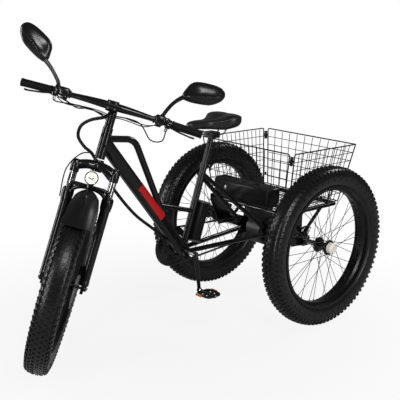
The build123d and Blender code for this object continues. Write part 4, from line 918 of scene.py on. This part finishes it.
def make_sprockets():
    """Six sprockets side by side on their carrier, round the rear axle."""
    cogs = Shell()
    for k, teeth in enumerate((28, 24, 21, 18, 16, 14)):
        cog_x = -65.0 - 5 * k
        outline = toothed(teeth, teeth * CHAIN_PITCH / TURN - 1.2, 3.0)
        cogs.annulus(outline, np.full_like(outline, 15.0), cog_x - 1.8, cog_x, (0, 0, WHEEL_R))
    cogs.rods([-99.5, 0, WHEEL_R], [-61, 0, WHEEL_R], 16, 28, 1)
    cogs.build("sprocket_stack", ["bronze", "steel"], "frame", ["sprockets"])


def chain_loop():
    """The chain's pins as (y, z): its loop is an arc round the ring, an arc round a sprocket and the two tangent
    runs between them, and a pin stands on every pitch."""
    ahead, below = -CRANK_AXIS[1], WHEEL_R - CRANK_AXIS[2]
    tilt, gap = math.atan2(below, ahead), math.hypot(ahead, below)
    wrap = math.acos((RING_R - COG_R) / gap)
    big = np.linspace(tilt + wrap, tilt + TURN - wrap, 240)
    small = np.linspace(tilt - wrap, tilt + wrap, 160)
    loop = np.vstack([centre + (radius + 4.2) * np.stack([np.cos(a), np.sin(a)], 1) for centre, radius, a in (
        (CRANK_AXIS[1:], RING_R, big), ((0, WHEEL_R), COG_R, small))])
    loop = np.vstack([loop, loop[:1]])
    run = lengths(loop)
    s = np.linspace(0, run[-1], 2 * int(round(run[-1] / (2 * CHAIN_PITCH))), endpoint=False)
    return np.stack([np.interp(s, run, loop[:, 0]), np.interp(s, run, loop[:, 1])], 1), s[1]


def make_chain():
    """The chain: inner and outer plates by turns, each a waisted outline turned along its link, and rollers."""
    pin, step = chain_loop()
    after = np.roll(pin, -1, 0)
    turn = np.arctan2(after[:, 1] - pin[:, 1], after[:, 0] - pin[:, 0])
    u = around(16)
    plate_y = step / 2 * np.sign(np.cos(u)) + 3.9 * np.cos(u)
    plate_z = 3.9 * np.sin(u) * (1 - 0.25 * np.exp(-(plate_y / 3.5) ** 2))
    chain = Shell()
    for kind, (near, far) in enumerate(((1.2, 2.1), (2.2, 3.1))):
        pick = turn[kind::2]
        middle = np.column_stack([np.full(len(pick), CHAIN_X), ((pin + after) / 2)[kind::2]])
        for x0, x1 in ((-far, -near), (near, far)):
            rings = np.concatenate([np.stack([0 * u + x, plate_y * k, plate_z * k], 1)
                                    for x, k in ((x0, 0), (x0, 1), (x1, 1), (x1, 0))])
            points = spun(rings, pick).reshape(len(pick), -1, 3) + middle[:, None]
            chain.add(points, repeated(grid_faces(4, 16), 64, len(pick)))
    ends = np.column_stack([np.full(len(pin), CHAIN_X - 3.2), pin])
    chain.rods(ends, ends + [6.4, 0, 0], 1.9, 8, 1)
    chain.build("chain_links", ["chain", "spoke"], "frame", ["chain"])


def make_pedals():
    """Platform pedals: a rounded loop, a barrel on the pin, cross ribs with studs, and amber reflectors on both
    edges."""
    a = around(48) + 0.01
    c, s = np.cos(a), np.sin(a)
    loop = np.stack([42 * np.sign(c) * np.abs(c) ** 0.45, 39 * np.sign(s) * np.abs(s) ** 0.45, 0 * a], 1)
    for side, name in ((1, "left"), (-1, "right")):
        middle = CRANK_AXIS + [side * (CRANK_OUT + 63), 0, 0] + CRANK_WAY * side * CRANK_LENGTH
        shell = Shell()
        shell.tube(loop + middle, 3.6, 12, flat=1.7, closed=True)
        shell.turned([(-44, 6.2), (-44, 8.6), (44, 8.6), (44, 6.2)], middle, (side, 0, 0), 24, closed=True)
        for x in (-27.0, 0.0, 27.0):
            for y in (-22, 22):
                shell.block(middle + [x, y, 0], (2.4, 15, 4.5), 1.5)
            for y in (-30.0, -16.0, 16.0, 30.0):
                shell.rods(middle + [x, y, -8.5], middle + [x, y, 8.5], 1.9, 8)
        for y in (-47.0, 47.0):
            shell.block(middle + [-side * 14, y, 0], (19, 1.8, 5.6), 1.2, finish=1)
        shell.build(f"{name}_pedal_platform", ["plastic", "amber"], f"{name}_pedal_body",
                    [f"{name}_pedal"])


def make_cases():
    """The battery and the controller: rounded cases with ribs, a lock and end caps, and a painted highlight over the
    battery's top.
    """
    shell = Shell()
    shell.block(BATTERY, (182.5, 43, 46), 17, steps=5)
    for z in (26.0, -8.0, -20.0):
        shell.block(BATTERY + [0, 0, z], (170, 43.8, 1.4), 1.2, finish=1)
    shell.block(BATTERY + [40, -2, 46.5], (52, 12, 5), 4, finish=1)
    shell.turned([(0, 0), (0, 9), (2.5, 9), (3.5, 6), (3.5, 0)], BATTERY + [-95, -42.5, 8], (0, -1, 0), 24, 2)
    shell.turned([(0, 0), (0, 8), (2, 8), (2, 0)], BATTERY + [181.5, 0, -6], (1, 0, 0), 24, 1)
    shell.build("battery_housing", ["case", "plastic", "steel"], "frame", ["battery_case"])
    control = Shell()
    axes = np.array([LEFT, SEAT_BACK, SEAT_WAY])
    centre = CRANK_AXIS + SEAT_WAY * 143 + SEAT_BACK * 42.2
    control.block(centre, (32.5, 25.5, 95), 9, axes, steps=4)
    for x in np.linspace(-24, 24, 7):
        control.block(centre + LEFT * x + SEAT_BACK * 25.6, (1.6, 1.0, 82), 0.8, axes)
    for y in np.linspace(-15, 17, 4):
        for side in (-1, 1):
            control.block(centre + LEFT * side * 32.4 + SEAT_BACK * y, (1.0, 1.6, 82), 0.8, axes)
    for end in (-1, 1):
        control.block(centre + SEAT_WAY * end * 90, (33, 26, 4), 3, axes, finish=1)
    control.build("controller_case", ["plastic", "grey"], "frame", ["controller_box"])


def make_panel(sizes):
    """The blank enamel panel: a patch of the down tube's rounded section, lifted by a hair and carried down the
    tube."""
    way = CRANK_AXIS - DOWN_TOP
    up = np.cross(LEFT, unit(way))
    up = up if up[2] > 0 else -up
    corner = np.linspace(0, math.pi / 2, 10)
    section = np.vstack([[(24.0, k) for k in np.linspace(-10, 10, 5)],
                         np.stack([6 + 18 * np.cos(corner), 10 + 18 * np.sin(corner)], 1), [(2.0, 28.0)]])
    outward = np.clip((section - [6, 10]) / 18, 0, 1)
    share = np.linspace(sizes.panel_from, sizes.panel_to, 24)[:, None, None]
    rings = sheet(*(DOWN_TOP + way * share + (section + lift * outward) @ np.array([LEFT, up])
                    for lift in (0.9, -0.6)))
    shell = Shell()
    shell.add(rings, grid_faces(*rings.shape[:2]))
    shell.build("down_tube_panel", ["red"], "frame")


def make_cables():
    """Captive cables: round sections carried along smooth curves through the places where they are held."""
    way = CRANK_AXIS - DOWN_TOP
    under = unit(np.array([0, way[2], -way[1]]))
    frame_route = [DOWN_TOP + way * share + under * below + LEFT * across for across, share, below in (
        (-8, 0.224, 74.9), (0, 0.289, 88), (0, 0.517, 80.3), (0, 0.7546, 45.5), (-14, 0.9135, 46.4),
        (-24, 0.99, 41.5), (-24, 1.0303, 19.8))]
    shell = Shell()
    shell.wrapped(through(frame_route, 160), (1, 0, 0))
    shell.build("frame_harness_wrap", ["ribbed"], "frame", ["frame_harness"])
    stem = FOOT + STEM_AT * AXIS_WAY
    crossing = [stem + np.array(step) for step in (
        (59.5, -55.4, -4.2), (66, -92.4, -17.5), (20, -126.4, -31.5), (-60, -119.4, -66.5), (-92, -112.4, -113.5),
        (-62, -104.4, -151.5), (-44, -79.4, -181.5), (-42, -42.4, -241.5))] + [frame_route[0] + [-2.4, -2.0, 4.0]]
    loop = Shell()
    loop.wrapped(through(crossing, 180), (0.3, 1, 0.1))
    piece = loop.build("steering_harness_wrap", ["ribbed"], None, ["steering_harness"])
    start, end = crossing[-1] / MM, crossing[2] / MM
    tuple(start)
    tuple(end)
    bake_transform(piece)
    thin = Shell()
    for radius, count, lift, route in (  # a route is in the steering frame, less its lift
            (2.5, 90, STEM_AT, [(-229, -113.1, -25.8), (-226, -118, -38), (-205, -138, -44), (-110, -150, -36),
                                (-36, -150, -42), (-8, -142, -58)]),
            (2.5, 90, STEM_AT, [(229, -113.1, -25.8), (227, -120, -40), (222, -140, -78), (178, -146, -86),
                                (120, -148, -36), (36, -150, -36), (8, -142, -56)]),
            (2.5, 90, WHEEL_R, [(-24, -74, 160), (-72, -74, 140), (-112, -50, 68), (-108, -40, -42)]),
            (2.0, 70, 0, [(-214, -118, 705), (-160, -140, 690), (-110, -139, 692), (-50, -131, 694),
                          (-8, -118, 690)]),
            (2.0, 70, 0, [(-214, -122, 700), (-180, -140, 684), (-140, -151, 683), (-100, -143, 686),
                          (-48, -136, 688), (-8, -116, 684)]),
            (2.0, 70, 0, [(-210, -114, 702), (-170, -149, 694), (-125, -146, 679), (-80, -140, 690), (-30, -128, 680),
                          (-6, -112, 676)]),
            (2.0, 70, 0, [(186, -116, 704), (150, -138, 690), (100, -140, 690), (50, -130, 694), (6, -118, 688)]),
            (2.0, 70, 0, [(180, -112, 702), (140, -142, 682), (90, -146, 684), (44, -134, 686), (6, -114, 680)])):
        thin.tube(through(np.array(route, float) + [0, 0, lift], count), radius, 10, across=(0.1, 1, 0.2))
    thin.build("control_cables", ["rubber"], "steering", ["steering_cables"], STEER)


def make_fasteners():
    """Small fittings: bolts and nuts, each along its own axis, and the ribbed fan bracket at the left end of the
    rear beam."""
    steering = Shell()
    for x, y, z, way in ((-14, -132, 738, (0, -1, 0)), (14, -132, 738, (0, -1, 0)), (-14, -132, 714, (0, -1, 0)),
                         (14, -132, 714, (0, -1, 0)), (0, 0, 745, (0, 0, 1))):
        head = np.array([x, y, z])
        steering.rods(head, head + np.array(way) * 4.5, 4.2, 12)
    for side in (-1, 1):
        steering.rods([side * 96, -AXLE_AHEAD, 0], [side * 101, -AXLE_AHEAD, 0], 7.5, 6, 1)
    steering.build("stem_and_axle_bolts", ["spoke", "chrome"], "steering", (), STEER)
    fixed = Shell()
    fixed.rods([259, 0, 392], [280, 0, 392], 5.5, 6)
    for side in (-1, 1):
        for y, z in ((-100, 490), (-70, 440), (-40, 400)):
            fixed.rods([side * 252.5, y, z], [side * 256, y, z], 4.5, 6)
    fan = np.array([266.0, 0, 386.0])
    a = np.radians(np.linspace(-34, 34, 6))
    reach = np.stack([0 * a, np.sin(a), np.cos(a)], 1)
    for x in (-6.0, 6.0):
        fixed.rods(fan + reach * 6 + [x, 0, 0], fan + reach * 54 + [x, 0, 0], 1.6, 8, 1)
    bend = np.radians(np.linspace(-36, 36, 24))
    for r in (34.0, 54.0):
        bow = fan + np.stack([0 * bend, r * np.sin(bend), r * np.cos(bend)], 1)
        fixed.tube(bow, 2.2, 10, across=(1, 0, 0), flat=3.4, finish=1)
    fixed.block(fan + [0, 0, 9], (9, 8, 6), 3, finish=1)
    for x in (53.0, -103.0):
        fixed.turned([(-3, 0), (-3, 13), (3, 13), (3, 0)], (x, 0, WHEEL_R), (1, 0, 0), 6)
    fixed.build("frame_bolts", ["steel", "plastic"], "frame")


CARRIED = (  # CAD node, finish
    ("main_frame", "paint"), ("rear_frame", "paint"), ("seat_clamp", "gloss"), ("seat_post", "gloss"),
    ("saddle_rails", "steel"), ("drive_motor", "motor"), ("axle_shafts", "steel"),
    ("fork_lowers", "paint"), ("stem", "gloss"), ("brake_caliper", "motor"),
    ("left_rim", "rim"), ("right_rim", "rim"), ("front_rim", "rim"), ("left_hub", "hub"), ("right_hub", "hub"),
    ("front_hub", "hub"), ("left_spokes", "spoke"), ("right_spokes", "spoke"), ("front_spokes", "spoke"))


def dress():
    """Give every carried CAD node its finish, in its own material slots."""
    for node, finish in CARRIED:
        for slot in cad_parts[node].material_slots:
            slot.material = LOOK[finish]


# ---------------------------------------------------------------- stage
WHITE = (1.0, 1.0, 1.0, 1.0)
SURROUND = 0.06  # strength of the surround as light
SHOWN_IN_GLOSS = 0.1  # share of the white surround that reflections show
AIM = Vector((0, -0.5, 0.5))
LAMPS = (  # name, place in metres, width, height, watts
    ("key", (3.4, -2.2, 3.8), 1.2, 1.2, 70), ("side", (-3.2, -3.6, 1.7), 0.5, 3.0, 75),
    ("back", (0.6, 3.4, 3.4), 2.0, 0.7, 70), ("front", (1.3, -4.6, 1.7), 0.4, 3.0, 65),
    ("edge", (4.9, -0.4, 1.7), 0.4, 3.0, 65))
VIEW_FROM = (2.770161, -2.873484, 1.513553)
VIEW_TURN = (0.8467548585, 0.2475460456, 0.0159819853)  # yaw, pitch and roll
VIEW_LENS = 843.3166 * 36 / 400


def make_floor():
    """A pale floor that keeps the shadow and fades to white far off, for the rays that show the surround."""
    mesh = bpy.data.meshes.new("floor")
    mesh.from_pydata([(-9, -9, -0.001), (9, -9, -0.001), (9, 9, -0.001), (-9, 9, -0.001)], [], [(0, 1, 2, 3)])
    floor = bpy.data.objects.new("floor", mesh)
    pale = Finish("floor", Roughness=0.9)
    pale.set(Base_Color=pale.mixed(pale.noise(0.7), (0.49, 0.49, 0.49), (0.51, 0.51, 0.51)))
    white = pale.node("ShaderNodeEmission", {}, {"Color": WHITE, "Strength": 1.0})
    middle = (0.0, -0.55, 0.0)
    away = pale.node("ShaderNodeVectorMath", {"operation": "DISTANCE"}, {0: pale.place, 1: middle}, "Value")
    inputs = {"Value": away, "From Min": 0.4, "From Max": 1.9, "To Min": 0.88, "To Max": 1.0}
    fade = pale.node("ShaderNodeMapRange", {"interpolation_type": "SMOOTHSTEP"}, inputs, "Result")
    mixed = pale.mixed_surface(fade * pale.seen(), Value(pale, pale.surface.outputs[0]), white)
    pale.fill(pale.tree.nodes["Material Output"].inputs["Surface"], mixed)
    mesh.materials.append(pale.material)
    bpy.context.scene.collection.objects.link(floor)


def make_surround():
    """A dim surround that looks white to the rays that show it."""
    world = bpy.data.worlds.new("surround")
    bpy.context.scene.world = world
    world.use_nodes = True
    world.node_tree.nodes.clear()
    sky = Nodes(world.node_tree)
    light, shown = (sky.node("ShaderNodeBackground", {}, {"Color": WHITE, "Strength": strength})
                    for strength in (SURROUND, 1.0))
    sky.node("ShaderNodeOutputWorld", {}, {"Surface": sky.mixed_surface(sky.seen(), light, shown)})


def make_lamps():
    """Five soft lamps: a key, a back light and three tall strips that draw the edges of black parts."""
    for name, place, wide, tall, power in LAMPS:
        lamp = bpy.data.lights.new(name, "AREA")
        lamp.shape, lamp.size, lamp.size_y, lamp.energy = "RECTANGLE", wide, tall, power
        holder = bpy.data.objects.new(name, lamp)
        holder.location = place
        holder.rotation_euler = (AIM - Vector(place)).to_track_quat("-Z", "Y").to_euler()
        bpy.context.scene.collection.objects.link(holder)


def make_camera():
    """The camera of the photograph: its axes are the view's own, turned by the roll."""
    yaw, pitch, roll = VIEW_TURN
    back = np.array([math.sin(yaw) * math.cos(pitch), -math.cos(yaw) * math.cos(pitch), math.sin(pitch)])
    right = np.array([math.cos(yaw), math.sin(yaw), 0])
    up = np.cross(back, right)
    level = math.cos(roll) * right + math.sin(roll) * up
    rise = -math.sin(roll) * right + math.cos(roll) * up
    camera = bpy.data.objects.new("camera", bpy.data.cameras.new("camera"))
    camera.data.sensor_width, camera.data.lens, camera.data.clip_end = 36.0, VIEW_LENS, 50
    camera.matrix_world = Matrix(placed(VIEW_FROM, level, rise, back).tolist())
    bpy.context.scene.collection.objects.link(camera)
    bpy.context.scene.camera = camera
    bpy.context.scene.view_settings.view_transform = "Standard"


# ---------------------------------------------------------------- settings and operators
def length(name, description, default, least, most):
    """A length property, kept in metres."""
    return bpy.props.FloatProperty(name=name, description=description, default=default, min=least, max=most,
                                   precision=4, subtype="DISTANCE", unit="LENGTH")


def share(name, description, default):
    """A property from nothing to all."""
    return bpy.props.FloatProperty(name=name, description=description, default=default, min=0.0, max=1.0,
                                   subtype="FACTOR")


def colour(name, description, default):
    """A colour property."""
    return bpy.props.FloatVectorProperty(name=name, description=description, default=default, min=0.0, max=1.0,
                                         size=3, subtype="COLOR")


class TricycleSizes(bpy.types.PropertyGroup):
    """Sizes of the pieces"""
    lugs: bpy.props.IntProperty(
        name="Lugs round a tyre", description="Tread blocks in each row of a tyre", default=88, min=40, max=140)
    lug_height: length("Lug height", "Height of the tread blocks", 0.004, 0.001, 0.006)
    wire: length("Basket wire", "Diameter of the basket's thin wires", 0.0034, 0.002, 0.0038)
    panel_from: share("Panel's start", "Share of the down tube where the enamel panel starts", 0.385)
    panel_to: share("Panel's end", "Share of the down tube where the enamel panel ends", 0.677)


class TricycleColours(bpy.types.PropertyGroup):
    """Colours of the finishes"""
    paint: colour("Frame paint", "Glossy coat of the frame and fork", (0.004, 0.004, 0.0045))
    gloss: colour("Gloss parts", "Mirror shells, levers, bar and stem", (0.004, 0.004, 0.0045))
    plastic: colour("Moulded plastic", "Guard, pedals and cases", (0.006, 0.006, 0.0065))
    rubber: colour("Rubber", "Grips and cables", (0.005, 0.005, 0.0055))
    tyre: colour("Tyre", "Tread rubber", (0.0035, 0.0035, 0.0037))
    rim: colour("Rim", "Deep black rims", (0.003, 0.003, 0.0035))
    saddle: colour("Saddle", "Vinyl cover", (0.004, 0.004, 0.0045))
    wire: colour("Basket wire", "Coated wire", (0.004, 0.004, 0.0045))
    bronze: colour("Sprockets", "Brown sprockets, ring and chain", (0.20, 0.105, 0.05))
    cap: colour("Hub caps", "Cream caps of the rear hubs", (0.93, 0.89, 0.80))
    panel: colour("Panel", "Blank enamel panel on the down tube", (0.48, 0.012, 0.012))


class TRICYCLE_OT_finishes(bpy.types.Operator):
    """Make the materials and give the CAD nodes that stay their finish"""
    bl_idname = "tricycle.finishes"
    bl_label = "Finishes"

    def execute(self, context):
        LOOK.update(finishes(context.scene.tricycle_colours))
        dress()
        return {"FINISHED"}


class TRICYCLE_OT_tyres(bpy.types.Operator):
    """Lugged tyres on the three wheels"""
    bl_idname = "tricycle.tyres"
    bl_label = "Tyres"

    def execute(self, context):
        make_tyres(context.scene.tricycle_sizes)
        return {"FINISHED"}


class TRICYCLE_OT_rim_fittings(bpy.types.Operator):
    """Spoke nipples, spoke heads and valves"""
    bl_idname = "tricycle.rim_fittings"
    bl_label = "Rim fittings"

    def execute(self, context):
        make_rim_fittings()
        return {"FINISHED"}


class TRICYCLE_OT_saddle(bpy.types.Operator):
    """The padded saddle and its seam"""
    bl_idname = "tricycle.saddle"
    bl_label = "Saddle"

    def execute(self, context):
        make_saddle()
        return {"FINISHED"}


class TRICYCLE_OT_controls(bpy.types.Operator):
    """Handlebar, grips, brake levers, control housings and mirrors"""
    bl_idname = "tricycle.controls"
    bl_label = "Controls"

    def execute(self, context):
        for make in (make_bar, make_grips, make_levers, make_pods, make_mirrors):
            make()
        return {"FINISHED"}


class TRICYCLE_OT_front(bpy.types.Operator):
    """Headlamp, front guard, fork crown and collars"""
    bl_idname = "tricycle.front"
    bl_label = "Lamp, guard and fork"

    def execute(self, context):
        for make in (make_headlamp, make_guard, make_crown):
            make()
        return {"FINISHED"}


class TRICYCLE_OT_basket(bpy.types.Operator):
    """The wire basket and its corner clips"""
    bl_idname = "tricycle.basket"
    bl_label = "Basket"

    def execute(self, context):
        make_basket(context.scene.tricycle_sizes)
        return {"FINISHED"}


class TRICYCLE_OT_drive(bpy.types.Operator):
    """Chain ring, cranks, sprockets, chain and pedals"""
    bl_idname = "tricycle.drive"
    bl_label = "Drive"

    def execute(self, context):
        for make in (make_crank, make_sprockets, make_chain, make_pedals):
            make()
        return {"FINISHED"}


class TRICYCLE_OT_cases(bpy.types.Operator):
    """Battery, controller and the enamel panel"""
    bl_idname = "tricycle.cases"
    bl_label = "Cases and panel"

    def execute(self, context):
        make_cases()
        make_panel(context.scene.tricycle_sizes)
        return {"FINISHED"}


class TRICYCLE_OT_cables(bpy.types.Operator):
    """Captive cables and harnesses"""
    bl_idname = "tricycle.cables"
    bl_label = "Cables"

    def execute(self, context):
        make_cables()
        return {"FINISHED"}


class TRICYCLE_OT_fasteners(bpy.types.Operator):
    """Bolts, nuts and the fan bracket"""
    bl_idname = "tricycle.fasteners"
    bl_label = "Fasteners"

    def execute(self, context):
        make_fasteners()
        return {"FINISHED"}


class TRICYCLE_OT_stage(bpy.types.Operator):
    """Floor, surround, lamps and camera"""
    bl_idname = "tricycle.stage"
    bl_label = "Stage"

    def execute(self, context):
        for make in (make_floor, make_surround, make_lamps, make_camera):
            make()
        return {"FINISHED"}


OPERATORS = (TRICYCLE_OT_finishes, TRICYCLE_OT_tyres, TRICYCLE_OT_rim_fittings, TRICYCLE_OT_saddle,
             TRICYCLE_OT_controls, TRICYCLE_OT_front, TRICYCLE_OT_basket, TRICYCLE_OT_drive, TRICYCLE_OT_cases,
             TRICYCLE_OT_cables, TRICYCLE_OT_fasteners, TRICYCLE_OT_stage)


class TRICYCLE_PT_pieces(bpy.types.Panel):
    """The tricycle's settings and the pieces that can be made"""
    bl_label = "Tricycle"
    bl_space_type = "VIEW_3D"
    bl_region_type = "UI"
    bl_category = "Tricycle"

    def draw(self, context):
        """Every setting, and a button for every operator"""
        for settings in (context.scene.tricycle_sizes, context.scene.tricycle_colours):
            for name in settings.__annotations__:
                self.layout.prop(settings, name)
        for operator in OPERATORS:
            self.layout.operator(operator.bl_idname)


CLASSES = (TricycleSizes, TricycleColours, *OPERATORS, TRICYCLE_PT_pieces)


def register():
    """Let Blender know the classes, and keep the settings on the scene"""
    for item in CLASSES:
        bpy.utils.register_class(item)
    bpy.types.Scene.tricycle_sizes = bpy.props.PointerProperty(type=TricycleSizes)
    bpy.types.Scene.tricycle_colours = bpy.props.PointerProperty(type=TricycleColours)


def unregister():
    """Take the settings and the classes out again"""
    del bpy.types.Scene.tricycle_colours
    del bpy.types.Scene.tricycle_sizes
    for item in reversed(CLASSES):
        bpy.utils.unregister_class(item)


def main():
    """Register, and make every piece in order."""
    register()
    for operator in OPERATORS:
        group, name = operator.bl_idname.split(".")
        getattr(getattr(bpy.ops, group), name)()


if __name__ == "__main__":
    main()
